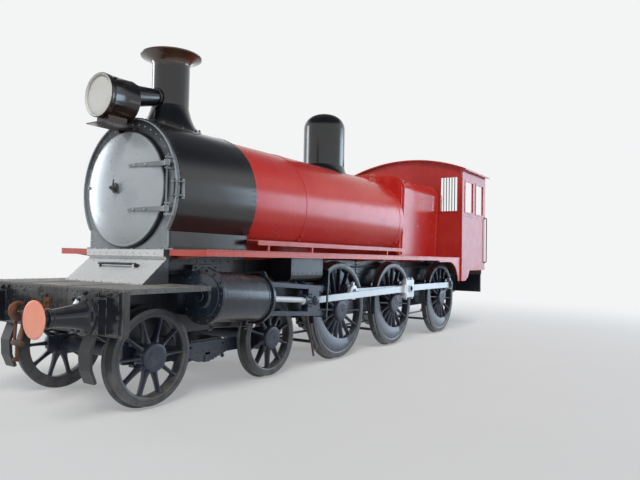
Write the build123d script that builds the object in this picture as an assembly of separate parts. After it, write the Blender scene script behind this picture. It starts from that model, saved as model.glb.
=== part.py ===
from build123d import *
import math
import os

# Broad-gauge 4-6-0 steam locomotive, without its tender. Millimetres.
# While a piece is built, X runs forward from the leading bogie axle, Y to the left
# and Z up from the top of the rails. The last lines move every piece so that the
# origin lies under the middle of the engine, at the foot of the wheel flanges.

# Track and wheels
back_to_back = 1515
tyre_width = 140
flange_height = 28
flange_width = 32
rim_depth = 105
bogie_wheel_r = 525
driver_r = 777
bogie_front_x = 0
bogie_rear_x = -2020
leading_x = -3820
main_x = -5800
trailing_x = -8240
bogie_spokes = 10
driver_spokes = 16
spoke_width_rim = 30
spoke_width_hub = 46
spoke_depth = 84
bogie_hub_r = 160
driver_hub_r = 182
hub_reach = 40
axle_r = 92
journal_gap = 0.3

# Cranks and rods
crank_throw = 330
left_crank_deg = 118.8
right_crank_deg = 28.8
crank_boss_r = 132
crank_boss_reach = 62
centre_step = 6
crank_pin_r = 60
pin_gap = 0.3
running_gap = 6
coupling_rod_depth = 118
coupling_rod_thick = 62
coupling_rod_inner_y = 1006
coupling_boss_r = 118
coupling_end_boss_r = 98
connecting_rod_length = 3250
connecting_rod_thick = 52
connecting_rod_front_depth = 92
connecting_rod_rear_depth = 122
big_end_length = 350
big_end_height = 330
big_end_thick = 96

# Cylinders and crossheads
cylinder_incline = 4.18
cylinder_length = 945
cylinder_front_s = 5315
cylinder_r = 290
cylinder_flange_r = 318
cylinder_flange_thick = 42
cylinder_cover_thick = 65
piston_rod_r = 39
gland_r = 88
gland_length = 62
crosshead_gap = 0.3
slide_bar_width = 104
slide_bar_depth = 58
slide_bar_clear = 160
slipper_half = 190
slipper_depth = 40
crosshead_cheek = 26
crosshead_pin_r = 44
bracket_s = 2850
bracket_thick = 26

# Main frames
frame_outer_y = 635
frame_thick = 35
frame_front_x = 660
frame_rear_x = -9950
frame_low_z = 700
frame_between_z = 640
frame_front_top_z = 1275
frame_top_z = 1585
frame_rear_top_z = 1290
frame_step_x = -330
frame_drop_x = -9150
axlebox_half = 150
axlebox_over = 165
axlebox_proud = 22
bogie_axlebox_half = 115
spring_leaf_thick = 17
spring_leaf_halves = (430, 370, 310, 250, 190, 130)
spring_hanger_x = 400

# Bogie
bogie_pivot_x = -1010
bogie_plate_outer_y = 700
bogie_plate_thick = 28
bogie_plate_top_z = 600
bogie_plate_low_z = 420
pivot_r = 90
pivot_gap = 0.3
bolster_low_z = 470
bolster_top_z = 590

# Front beam, platform and buffers
beam_front_x = 740
beam_low_z = 854
half_width = 1325
platform_top_z = 1290
platform_edge = 50
platform_rear_x = -400
sheet = 15
buffer_y = 900
buffer_z = 1030
buffer_face_x = 1350
buffer_head_r = 174
buffer_flat_r = 150
buffer_head_thick = 22
buffer_edge = 12
buffer_stroke = 94
buffer_base_half = 205
buffer_base_rise = 172
buffer_base_thick = 105
buffer_flange_r = 190
buffer_flange_thick = 27
buffer_root_r = 146
buffer_neck_r = 84
buffer_bead_r = 92
buffer_bead_length = 40
buffer_plunger_r = 62
buffer_plunger_length = 274
guard_iron_inner_y = 645
guard_iron_outer_y = 825
guard_iron_thick = 34
guard_iron_throw = 72
guard_iron_top_z = 1240
guard_iron_bend_z = 640
guard_iron_foot_z = 330
coupling_z = 1030

# Boiler, smokebox and firebox
boiler_z = 2405
smokebox_r = 880
smokebox_wall = 20
smokebox_front_x = -300
smokebox_rear_x = -1670
smokebox_base_half = 720
smokebox_foot = 70
saddle_half = 750
saddle_low_z = 1000
ledge_low_z = 1602
door_r = 690
door_hole_r = 640
door_seat = 38
door_gap = 0.3
door_rim = 20
door_bulge = 102
door_wall = 14
hinge_x = -205
hinge_y = 790
hinge_spread = 260
strap_height = 62
boiler_r = 860
band_reach = 6
band_width = 60
band_pitch = 1200
band_end = 130
rail_z = 1840
rail_post_xs = (-1905, -2956, -5463)
firebox_front_x = -6280
firebox_rear_x = -8550
firebox_half = 790
firebox_low_half = 750
firebox_spring_z = 3050
firebox_crown_z = 3390
firebox_shoulder_r = 270
firebox_recess_length = 50
firebox_recess = 35
firebox_leg_half = 560
firebox_leg_front_x = -5990
firebox_leg_rear_x = -8050
firebox_leg_low_z = 1000
valve_x = -6080
valve_y = 240
valve_top_z = 3350
firehole_r = 200
firehole_z = 2160
firehole_depth = 420
firehole_ring = 50
firehole_pin_out = 56
regulator_z = 2960

# Chimney, lamp and dome
chimney_x = -920
chimney_r = 240
chimney_top_z = 4232
chimney_lip_r = 390
chimney_bell = 140
chimney_lip_thick = 22
chimney_foot_rise = 270
chimney_foot_r = 412
flue_r = 200
lamp_z = 3460
lamp_r = 262
lamp_front_x = 150
lamp_drum_x = -250
lamp_neck_x = -320
lamp_neck_r = 140
lamp_neck_z = 3560
lamp_neck_end_r = 105
lamp_neck_end_z = 3635
lamp_rim = 22
lamp_shelf_z = 3140
lamp_shelf_half = 165
lamp_shelf_front_x = 184
lamp_shelf_thick = 12
dome_x = -4620
dome_r = 380
dome_top_z = 4285
dome_corner = 240

# Running boards and cab
board_half = 1350
board_top_z = 1685
board_inner_y = 760
board_thick = 25
valance_depth = 69
board_bracket_xs = (-450, -1760, -3080, -4810, -6700)
board_bracket_thick = 20
apron_front_x = -7000
apron_low_z = 1586
apron_arc_x = -7600
apron_arc_r = 550
sandbox_front_x = -2110
sandbox_rear_x = -2890
sandbox_inner_y = 800
sandbox_outer_y = 1150
sandbox_low_z = 1290
cab_front_x = -8250
cab_rear_x = -9900
cab_half = 1385
cab_wall = 20
cab_bead_r = 18
cab_tail_z = 1165
cab_tail_rear_x = -8500
cab_skirt_z = 1400
front_window_inner_y = 870
front_window_outer_y = 1260
front_window_low_z = 2750
front_window_top_z = 3520
side_window_xs = (-8690, -9440)
side_window_width = 520
side_window_low_z = 2740
side_window_top_z = 3440
roof_crown_z = 3985
roof_rise = 285
roof_half = 1460
roof_thick = 22
roof_front_x = -8180
roof_rear_x = -9980
floor_low_z = 1640
drag_front_x = -9300
drag_rear_x = -10000
drag_low_z = 850
drawbar_pin_r = 45

wheel_inner_y = back_to_back / 2
wheel_outer_y = wheel_inner_y + tyre_width
frame_inner_y = frame_outer_y - frame_thick
coupling_rod_outer_y = coupling_rod_inner_y + coupling_rod_thick
connecting_rod_inner_y = coupling_rod_outer_y + running_gap
motion_y = connecting_rod_inner_y + connecting_rod_thick / 2
overlap = 40


def block(x, y, z):
    """A box from its three (low, high) spans."""
    spans = [sorted(span) for span in (x, y, z)]
    size = [high - low for low, high in spans]
    middle = [(high + low) / 2 for low, high in spans]
    return Pos(*middle) * Box(*size)


def rod_x(radius, x0, x1, y, z):
    """A round bar along X."""
    return Pos((x0 + x1) / 2, y, z) * Rot(0, 90, 0) * Cylinder(radius, abs(x1 - x0))


def rod_y(radius, x, y0, y1, z):
    """A round bar along Y."""
    return Pos(x, (y0 + y1) / 2, z) * Rot(90, 0, 0) * Cylinder(radius, abs(y1 - y0))


def rod_z(radius, x, y, z0, z1):
    """A round bar along Z."""
    return Pos(x, y, (z0 + z1) / 2) * Cylinder(radius, abs(z1 - z0))


def side_plate(outline, y0, y1):
    """A flat outline in X and Z, as thick as from y0 to y1."""
    low, high = sorted((y0, y1))
    return extrude(Plane.XZ.offset(-low) * outline, amount=high - low, dir=(0, 1, 0))


def cross_plate(outline, x0, x1):
    """A flat outline in Y and Z, as long as from x0 to x1."""
    low, high = sorted((x0, x1))
    return extrude(Plane.YZ.offset(low) * outline, amount=high - low, dir=(1, 0, 0))


def corners(*points):
    """A flat outline through the corners as they are given."""
    return Polygon(*points, align=None)


def joined(pieces):
    """The pieces fused into one."""
    total = pieces[0]
    for piece in pieces[1:]:
        total = total + piece
    return total


def mirrored(shape):
    """The same piece on the engine's right side."""
    return mirror(shape, about=Plane.XZ)


def pair(shape):
    """The left piece and its mirror image, which don't touch."""
    return Compound([*shape.solids(), *mirrored(shape).solids()])


def along_motion(shape):
    """Moves a piece from the motion's own line to its incline through the main axle."""
    return Pos(main_x, 0, driver_r) * Rot(0, -cylinder_incline, 0) * shape


def crank_xz(angle_deg):
    """How far a crank pin stands from its axle along X and Z."""
    angle = math.radians(angle_deg)
    return crank_throw * math.cos(angle), crank_throw * math.sin(angle)


def crosshead_s(angle_deg):
    """How far ahead of the main axle the crosshead pin stands, along the motion's line."""
    angle = math.radians(angle_deg - cylinder_incline)
    across = crank_throw * math.sin(angle)
    return crank_throw * math.cos(angle) + math.sqrt(connecting_rod_length**2 - across**2)


# Wheels and axles
def wheel_outline(radius, count, hub_r, first_deg, crank_deg):
    """The spoked centre seen from the side: hub, spokes and, on a driver, crank boss and weight."""
    rim_r = radius - rim_depth
    outline = Circle(hub_r - centre_step)
    reach = rim_r + rim_depth / 4
    spoke = corners(
        (0, -spoke_width_hub / 2),
        (reach, -spoke_width_rim / 2),
        (reach, spoke_width_rim / 2),
        (0, spoke_width_hub / 2),
    )
    for number in range(count):
        outline = outline + Rot(0, 0, first_deg + number * 360 / count) * spoke
    if crank_deg is not None:
        outline = outline + Rot(0, 0, crank_deg) * (
            Pos(crank_throw, 0) * Circle(crank_boss_r - centre_step)
            + Pos(crank_throw / 2, 0) * Rectangle(crank_throw, crank_boss_r)
        )
        weight = Circle(reach) - Pos(crank_throw * 0.95, 0) * Circle(rim_r * 1.12)
        outline = outline + Rot(0, 0, crank_deg) * weight
    return outline


def tyre(radius):
    """The tyre and rim of the left wheel, with its flange towards the track's middle."""
    inner, outer = wheel_inner_y, wheel_outer_y
    cone = 7
    section = corners(
        (inner, radius - rim_depth),
        (inner, radius + flange_height * 0.7),
        (inner + flange_width * 0.3, radius + flange_height),
        (inner + flange_width * 0.65, radius + flange_height * 0.8),
        (inner + flange_width, radius),
        (outer - cone, radius - cone / 2),
        (outer, radius - cone * 1.5),
        (outer, radius - rim_depth),
    )
    return revolve(Plane.YZ * section, axis=Axis.Y)


def spoked_wheel(radius, count, hub_r, first_deg, crank_deg, pin_end_y):
    """The left wheel about the origin."""
    middle = (wheel_inner_y + wheel_outer_y) / 2 + 6
    centre = wheel_outline(radius, count, hub_r, first_deg, crank_deg)
    wheel = side_plate(centre, middle - spoke_depth / 2, middle + spoke_depth / 2) + tyre(radius)
    wheel = wheel + rod_y(hub_r, 0, wheel_inner_y - hub_reach / 2, wheel_outer_y + hub_reach, 0)
    if crank_deg is not None:
        pin_x, pin_z = crank_xz(crank_deg)
        wheel = wheel + rod_y(crank_boss_r, pin_x, middle, wheel_outer_y + crank_boss_reach, pin_z)
        wheel = wheel + rod_y(crank_pin_r, pin_x, middle, pin_end_y, pin_z)
    return wheel


def wheelset(x, radius, count, hub_r, first_deg, cranks, pin_end_y):
    """Two wheels on their axle; cranks is (left, right) in degrees, or nothing on the bogie."""
    left_deg, right_deg = cranks if cranks else (None, None)
    left = spoked_wheel(radius, count, hub_r, first_deg, left_deg, pin_end_y)
    right = mirrored(spoked_wheel(radius, count, hub_r, first_deg, right_deg, pin_end_y))
    axle = rod_y(axle_r, 0, -wheel_inner_y - hub_reach, wheel_inner_y + hub_reach, 0)
    return Pos(x, 0, radius) * (left + axle + right)


# Rods
def coupling_rod(crank_deg):
    """The rod that joins the three left crank pins, with its round ends and oil cups."""
    pin_x, pin_z = crank_xz(crank_deg)
    pin_xs = [axle_x + pin_x for axle_x in (leading_x, main_x, trailing_x)]
    z = driver_r + pin_z
    low, high = coupling_rod_inner_y, coupling_rod_outer_y
    half = coupling_rod_depth / 2
    rod = block((pin_xs[0], pin_xs[2]), (low + 6, high - 6), (z - half, z + half))
    for x, boss_r in zip(pin_xs, (coupling_boss_r, coupling_boss_r, coupling_end_boss_r)):
        rod = rod + rod_y(boss_r, x, low, high, z)
        rod = rod + block((x - 28, x + 28), (low + 8, high - 8), (z, z + boss_r + 42))
    knuckle_x = pin_xs[1] - coupling_boss_r * 2.4
    rod = rod + rod_y(coupling_rod_depth * 0.66, knuckle_x, low, high, z)
    for x in pin_xs:
        rod = rod - rod_y(crank_pin_r + pin_gap, x, low - overlap, high + overlap, z)
    return rod


def connecting_rod(crank_deg):
    """The left connecting rod, from the crosshead pin back to its strapped big end."""
    pin_x, pin_z = crank_xz(crank_deg)
    front = along_motion(Pos(crosshead_s(crank_deg), 0, 0)).position
    rear = Vector(main_x + pin_x, 0, driver_r + pin_z)
    swing = math.degrees(math.atan2(rear.Z - front.Z, front.X - rear.X))
    low, high = connecting_rod_inner_y, connecting_rod_inner_y + connecting_rod_thick
    length = connecting_rod_length
    bar = corners(
        (0, -connecting_rod_front_depth / 2),
        (-length, -connecting_rod_rear_depth / 2),
        (-length, connecting_rod_rear_depth / 2),
        (0, connecting_rod_front_depth / 2),
    )
    rod = side_plate(bar, low + 6, high - 6) + rod_y(crosshead_pin_r * 1.75, 0, low, high, 0)
    end = (-length - big_end_length / 2, -length + big_end_length / 2)
    rod = rod + block(end, (low, low + big_end_thick), (-big_end_height / 2, big_end_height / 2))
    rod = rod + rod_y(crank_pin_r, -length, low, low + big_end_thick + 26, 0)
    rod = rod + rod_z(26, -length, low + big_end_thick / 2, 0, big_end_height / 2 + 48)
    cotter_reach = big_end_height / 2 + 34
    for x in (-length - big_end_length * 0.36, -length + big_end_length * 0.36):
        rod = rod + block((x - 16, x + 16), (low + 20, low + 60), (-cotter_reach, cotter_reach))
    rod = rod - rod_y(crosshead_pin_r + pin_gap, 0, low - overlap, high + overlap, 0)
    return Pos(front.X, 0, front.Z) * Rot(0, swing, 0) * rod


def crosshead(crank_deg):
    """The left crosshead between its slide bars, with the pin and the piston rod."""
    pin_s = crosshead_s(crank_deg)
    low = connecting_rod_inner_y - running_gap + 1
    high = connecting_rod_inner_y + connecting_rod_thick + running_gap
    inner, outer = motion_y - slide_bar_width / 2, motion_y + slide_bar_width / 2
    reach = slide_bar_clear - crosshead_gap
    body = block((pin_s + slipper_half - 80, pin_s + slipper_half), (inner, outer), (-reach, reach))
    for end in (-1, 1):
        slipper = (end * (reach - slipper_depth), end * reach)
        body = body + block((pin_s - slipper_half, pin_s + slipper_half), (inner, outer), slipper)
    for cheek in ((low - crosshead_cheek, low), (high, high + crosshead_cheek)):
        body = body + block((pin_s - 85, pin_s + slipper_half), cheek, (-reach, reach))
    body = body + rod_y(crosshead_pin_r, pin_s, low - crosshead_cheek, high + crosshead_cheek + 18, 0)
    front_s = pin_s + slipper_half
    body = body + rod_x(piston_rod_r * 1.7, front_s - overlap, front_s + 70, motion_y, 0)
    back_s = connecting_rod_length - crank_throw
    rod_front_s = cylinder_front_s - cylinder_length + (pin_s - back_s) + 70
    body = body + rod_x(piston_rod_r, front_s, rod_front_s, motion_y, 0)
    return along_motion(body)


# Cylinders and slide bars
def cylinder():
    """The left cylinder with its covers, gland and the flange that bolts it to the frame."""
    rear_s = cylinder_front_s - cylinder_length
    body = rod_x(cylinder_r, rear_s, cylinder_front_s, motion_y, 0)
    for s, thick in (
        (rear_s, cylinder_flange_thick),
        (cylinder_front_s - cylinder_cover_thick, cylinder_cover_thick),
    ):
        body = body + rod_x(cylinder_flange_r, s, s + thick, motion_y, 0)
    body = body + rod_x(gland_r, rear_s - gland_length, rear_s, motion_y, 0)
    cover = cylinder_cover_thick
    body = body + block(
        (rear_s + cover, cylinder_front_s - cover),
        (frame_outer_y - overlap, motion_y),
        (-cylinder_r * 0.8, cylinder_r * 0.98),
    )
    bore = (rear_s - gland_length - overlap, cylinder_front_s - cover)
    body = body - rod_x(piston_rod_r + pin_gap, *bore, motion_y, 0)
    placed = along_motion(body)
    return placed - block((0, main_x), (0, frame_outer_y), (0, frame_top_z))


def slide_bars():
    """Upper and lower bars of the left side, from the cylinder to the bracket."""
    rear_s = cylinder_front_s - cylinder_length
    inner, outer = motion_y - slide_bar_width / 2, motion_y + slide_bar_width / 2
    far = slide_bar_clear + slide_bar_depth
    bars = [
        block((bracket_s, rear_s), (inner, outer), (side * slide_bar_clear, side * far))
        for side in (-1, 1)
    ]
    return along_motion(Compound(bars))


def motion_bracket():
    """The left bracket that carries the bars' rear ends, open where the crosshead runs through."""
    inner, outer = motion_y - slide_bar_width / 2 - 60, motion_y + slide_bar_width / 2 + 45
    reach = slide_bar_clear + slide_bar_depth + 25
    arm_low = 260
    arm_top = 460
    span = (bracket_s - bracket_thick, bracket_s)
    ring = block(span, (inner, outer), (-reach, arm_top))
    arm = block(span, (frame_outer_y, outer), (arm_low, arm_top))
    window = block(
        (span[0] - overlap, span[1] + overlap),
        (motion_y - slide_bar_width / 2 - 24, motion_y + slide_bar_width / 2 + 24),
        (-slide_bar_clear - 5, slide_bar_clear + 5),
    )
    return along_motion(ring + arm - window)


# Frames
def frame_outline():
    """One main frame plate seen from the side, with a window for each driving axlebox."""
    axlebox_low = driver_r - axlebox_over
    horn_low = axlebox_low - 60
    between_z = frame_between_z
    points = [
        (frame_front_x, frame_front_top_z),
        (frame_step_x, frame_front_top_z),
        (frame_step_x, frame_top_z),
        (frame_drop_x, frame_top_z),
        (frame_drop_x - 120, frame_rear_top_z),
        (frame_rear_x, frame_rear_top_z),
        (frame_rear_x, drag_low_z),
        (trailing_x - 420, between_z),
    ]
    for x in (trailing_x, main_x, leading_x):
        points += [
            (x - 290, between_z),
            (x - 230, horn_low),
            (x + 230, horn_low),
            (x + 290, between_z),
        ]
    points += [
        (leading_x + 520, frame_low_z),
        (frame_front_x - 260, frame_low_z),
        (frame_front_x, beam_low_z + 20),
    ]
    outline = corners(*points)
    for x in (leading_x, main_x, trailing_x):
        outline = outline - Pos(x, driver_r) * Rectangle(2 * axlebox_half, 2 * axlebox_over)
    return outline


def main_frames():
    """Two plates, their stretchers and the bogie's centre pin."""
    plate = side_plate(frame_outline(), frame_inner_y, frame_outer_y)
    inside = (-frame_inner_y, frame_inner_y)
    stretchers = [
        # x span, z span
        ((frame_front_x - 40, frame_front_x), (880, frame_front_top_z)),
        ((bogie_pivot_x - 330, bogie_pivot_x + 330), (760, 960)),
        ((leading_x + 830, leading_x + 855), (740, 1500)),
        ((main_x + 960, main_x + 985), (700, 1450)),
    ]
    body = plate + mirrored(plate)
    for x, z in stretchers:
        body = body + block(x, inside, z)
    body = body + rod_z(pivot_r * 2, bogie_pivot_x, 0, bolster_top_z + pivot_gap, 780)
    return body + rod_z(pivot_r, bogie_pivot_x, 0, bolster_low_z - 45, 780)


def axleboxes():
    """Six axleboxes in the frame windows, each bored for its axle."""
    boxes = []
    for x in (leading_x, main_x, trailing_x):
        box = block(
            (x - axlebox_half, x + axlebox_half),
            (frame_inner_y - axlebox_proud, frame_outer_y + axlebox_proud),
            (driver_r - axlebox_over, driver_r + axlebox_over),
        )
        box = box - rod_y(axle_r + journal_gap, x, 0, wheel_outer_y, driver_r)
        boxes += box.solids()
    return pair(Compound(boxes))


def springs():
    """Laminated springs under the driving axleboxes, with their hangers to the frames."""
    top_z = driver_r - axlebox_over - 60
    leaf = spring_leaf_thick
    leaf_top_z = top_z - 40
    leaf_y = (frame_inner_y - 25, frame_outer_y + 25)
    packs = []
    for x in (leading_x, main_x, trailing_x):
        leaves = [
            block((x - half, x + half), leaf_y, (leaf_top_z - leaf * (n + 1), leaf_top_z - leaf * n))
            for n, half in enumerate(spring_leaf_halves)
        ]
        pack = joined(leaves) + block((x - 55, x + 55), (frame_inner_y, frame_outer_y), (top_z - 60, top_z))
        for end in (-spring_hanger_x, spring_hanger_x):
            pack = pack + rod_z(22, x + end, frame_outer_y - frame_thick / 2, top_z - 50, frame_between_z)
        packs += pack.solids()
    return pair(Compound(packs))


def brake_gear():
    """A hanger and block ahead of every driver, with the beam that joins the two sides."""
    block_r = driver_r + running_gap
    gear = []
    for axle_x in (leading_x, main_x, trailing_x):
        hanger = corners((832, 410), (872, 410), (852, 0), (752, -452), (712, -436), (812, 0))
        sector = Circle(block_r + 60) - Circle(block_r)
        sector = sector & corners((0, 0), (1200, -230), (1200, -1050))
        side = side_plate(hanger, 812, 846) + side_plate(sector, 800, 884)
        side = side + rod_y(30, 852, frame_outer_y, 858, 373)
        both = side + mirrored(side) + rod_y(24, 732, -830, 830, -440)
        gear.append(Pos(axle_x, 0, driver_r) * both)
    return Compound([solid for item in gear for solid in item.solids()])


# Bogie
def bogie_frame():
    """Two inside plates with a cross bolster, bored for the centre pin, and their axleboxes."""
    outer, inner = bogie_plate_outer_y, bogie_plate_outer_y - bogie_plate_thick
    dip = 70
    outline = corners(
        (bogie_front_x + 250, bogie_plate_low_z + 30),
        (bogie_front_x + 250, bogie_plate_top_z + 30),
        (bogie_front_x - 260, bogie_plate_top_z + 30),
        (bogie_front_x - 420, bogie_plate_top_z - dip / 2),
        (bogie_rear_x + 420, bogie_plate_top_z - dip / 2),
        (bogie_rear_x + 260, bogie_plate_top_z + 30),
        (bogie_rear_x - 250, bogie_plate_top_z + 30),
        (bogie_rear_x - 250, bogie_plate_low_z + 30),
        (bogie_rear_x + 260, bogie_plate_low_z - 20),
        (bogie_front_x - 260, bogie_plate_low_z - 20),
    )
    plate = side_plate(outline, inner, outer)
    for x in (bogie_front_x, bogie_rear_x):
        plate = plate + block(
            (x - bogie_axlebox_half, x + bogie_axlebox_half),
            (inner - 40, outer + 14),
            (bogie_wheel_r - 120, bogie_wheel_r + 120),
        )
    body = plate + mirrored(plate)
    bolster = (bolster_low_z, bolster_top_z)
    body = body + block((bogie_pivot_x - 260, bogie_pivot_x + 260), (-inner, inner), bolster)
    body = body - rod_z(pivot_r + pivot_gap, bogie_pivot_x, 0, *bolster)
    for x in (bogie_front_x, bogie_rear_x):
        body = body - rod_y(axle_r + journal_gap, x, -wheel_inner_y, wheel_inner_y, bogie_wheel_r)
    return body


# Front end
def buffer_stocks():
    """Two trumpet-shaped cast stocks on deep rectangular bases."""
    mouth_x = buffer_face_x - buffer_head_thick - buffer_stroke
    base_x = beam_front_x + buffer_base_thick
    flange_x = base_x + buffer_flange_thick
    base = block(
        (beam_front_x, base_x),
        (buffer_y - buffer_base_half, buffer_y + buffer_base_half),
        (buffer_z - buffer_base_rise, buffer_z + buffer_base_rise),
    )
    profile = corners(
        (base_x, 0),
        (base_x, buffer_flange_r),
        (flange_x, buffer_flange_r),
        (flange_x, buffer_root_r),
        (flange_x + 60, buffer_root_r * 0.82),
        (flange_x + 130, buffer_root_r * 0.71),
        (mouth_x - buffer_bead_length - 30, buffer_neck_r),
        (mouth_x - buffer_bead_length, buffer_neck_r),
        (mouth_x - buffer_bead_length, buffer_bead_r),
        (mouth_x, buffer_bead_r),
        (mouth_x, 0),
    )
    cone = Pos(0, buffer_y, buffer_z) * revolve(Plane.XZ * profile, axis=Axis.X)
    bore_low = buffer_face_x - buffer_head_thick - buffer_plunger_length
    bore = rod_x(buffer_plunger_r + pin_gap, bore_low, mouth_x + overlap, buffer_y, buffer_z)
    return pair(base + cone - bore)


def buffer_heads():
    """Two round heads with a flat face and a rounded edge, on plungers that stand in the stocks."""
    back_x = buffer_face_x - buffer_head_thick
    edge_x = buffer_face_x - buffer_edge
    plunger = rod_x(buffer_plunger_r, back_x - buffer_plunger_length, back_x + 10, buffer_y, buffer_z)
    profile = make_face(
        Polyline(
            (edge_x, buffer_head_r),
            (back_x, buffer_head_r),
            (back_x, 0),
            (buffer_face_x, 0),
            (buffer_face_x, buffer_flat_r),
        )
        + ThreePointArc(
            (buffer_face_x, buffer_flat_r), (buffer_face_x - 5, buffer_head_r - 8), (edge_x, buffer_head_r)
        )
    )
    head = Pos(0, buffer_y, buffer_z) * revolve(Plane.XZ * profile, axis=Axis.X)
    return pair(plunger + head)


def front_beam():
    """The buffer beam across the front of the frames."""
    return block((frame_front_x, beam_front_x), (-half_width, half_width), (beam_low_z, frame_front_top_z))


def front_coupling():
    """The drawhook with its plate and the screw coupling that hangs from it."""
    plate = block((beam_front_x, beam_front_x + 24), (-160, 160), (coupling_z - 130, coupling_z + 130))
    shank = rod_x(42, beam_front_x + 24, beam_front_x + 190, 0, coupling_z)
    hook = Circle(105) - Pos(10, 18) * Circle(48) - Pos(60, 75) * Rectangle(120, 90)
    hook = Pos(beam_front_x + 235, coupling_z) * hook
    body = plate + shank + side_plate(hook, -32, 32)
    link_x = beam_front_x + 245
    for side in (-1, 1):
        body = body + rod_z(18, link_x, side * 62, coupling_z - 330, coupling_z - 60)
    body = body + rod_y(22, link_x, -62, 62, coupling_z - 60) + rod_y(30, link_x, -90, 90, coupling_z - 330)
    return body + rod_z(24, link_x, 0, coupling_z - 520, coupling_z - 330)


def front_platform():
    """The deck ahead of the smokebox, with wings beside the frames and a deep edge."""
    low = platform_top_z - sheet
    body = block((frame_step_x, beam_front_x), (-half_width, half_width), (low, platform_top_z))
    for side in (-1, 1):
        body = body + block(
            (platform_rear_x, frame_step_x),
            (side * (frame_outer_y + 5), side * half_width),
            (low, platform_top_z),
        )
        body = body + block(
            (platform_rear_x, frame_front_x),
            (side * (half_width - sheet), side * half_width),
            (platform_top_z - platform_edge, platform_top_z),
        )
    return body


def guard_irons():
    """Flat irons behind the beam that reach down ahead of the leading wheels, curved back at the foot."""
    thick = guard_iron_thick
    front = frame_front_x
    outline = corners(
        (front, guard_iron_top_z),
        (front, beam_low_z),
        (front + guard_iron_throw, guard_iron_bend_z),
        (front + guard_iron_throw - 12, guard_iron_foot_z + 140),
        (front, guard_iron_foot_z),
        (front - 28, guard_iron_foot_z + 15),
        (front + guard_iron_throw - 12 - thick, guard_iron_foot_z + 150),
        (front + guard_iron_throw - thick, guard_iron_bend_z),
        (front - thick, beam_low_z + 26),
        (front - thick, guard_iron_top_z),
    )
    iron = side_plate(outline, guard_iron_inner_y, guard_iron_outer_y)
    palm = (guard_iron_top_z - 120, guard_iron_top_z)
    iron = iron + block((front - thick, front), (frame_outer_y, guard_iron_outer_y), palm)
    return pair(iron)


def saddle():
    """The smokebox saddle, with its front ledge, the sloping apron and the apron's hand rail."""
    ledge_x = smokebox_front_x + 50
    toe_x = 30
    length = (smokebox_rear_x + 30, frame_step_x)
    slab = block(length, (-saddle_half, saddle_half), (frame_top_z, board_top_z))
    core = block(length, (-frame_inner_y, frame_inner_y), (saddle_low_z, frame_top_z))
    apron = side_plate(
        corners(
            (frame_step_x, platform_top_z),
            (toe_x, platform_top_z),
            (toe_x, platform_top_z + 10),
            (smokebox_front_x + 10, ledge_low_z - 32),
            (smokebox_front_x + 10, ledge_low_z),
            (ledge_x, ledge_low_z),
            (ledge_x, board_top_z),
            (frame_step_x, board_top_z),
        ),
        -smokebox_base_half,
        smokebox_base_half,
    )
    body = slab + core + apron
    hand_rail_x = -150
    hand_rail_z = 1510
    body = body + rod_y(13, hand_rail_x, -345, 345, hand_rail_z)
    for y in (-325, 325):
        body = body + rod_z(11, hand_rail_x, y, hand_rail_z - 100, hand_rail_z)
    return body - rod_x(smokebox_r, smokebox_rear_x, smokebox_front_x, 0, boiler_z)


# Smokebox and boiler
def smokebox_outline():
    """The round wrapper with straight skirts down to its base and a foot on each side."""
    base = corners(
        (-smokebox_base_half, board_top_z),
        (smokebox_base_half, board_top_z),
        (smokebox_base_half, boiler_z - 500),
        (-smokebox_base_half, boiler_z - 500),
    )
    foot = Pos(0, board_top_z + 9) * Rectangle(2 * (smokebox_base_half + smokebox_foot), 18)
    return Pos(0, boiler_z) * Circle(smokebox_r) + base + foot


def smokebox_shell():
    """The wrapper with its solid base and its tube plate, open at the front and under the chimney."""
    front_x = smokebox_front_x - smokebox_wall
    shell = cross_plate(smokebox_outline(), smokebox_rear_x, front_x)
    shell = shell - rod_x(smokebox_r - smokebox_wall, smokebox_rear_x + smokebox_wall, front_x, 0, boiler_z)
    return shell - rod_z(flue_r, chimney_x, 0, boiler_z, boiler_z + smokebox_r + overlap)


def smokebox_front():
    """The front plate with the door's seat, its hinge lugs and the hinge rod."""
    plate = cross_plate(smokebox_outline(), smokebox_front_x - smokebox_wall, smokebox_front_x)
    seat = rod_x(door_r + 16, smokebox_front_x, smokebox_front_x + door_seat, 0, boiler_z)
    plate = plate + seat - rod_x(door_hole_r, smokebox_front_x - overlap, overlap, 0, boiler_z)
    for strap_z in (boiler_z - hinge_spread, boiler_z + hinge_spread):
        for lug_z in (strap_z - strap_height, strap_z + strap_height):
            lug = block(
                (smokebox_front_x, hinge_x), (hinge_y - 24, hinge_y + 24), (lug_z - 10, lug_z + 10)
            )
            plate = plate + lug + rod_z(24, hinge_x, hinge_y, lug_z - 10, lug_z + 10)
    pin_reach = hinge_spread + strap_height + 20
    return plate + rod_z(11, hinge_x, hinge_y, boiler_z - pin_reach, boiler_z + pin_reach)


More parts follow.
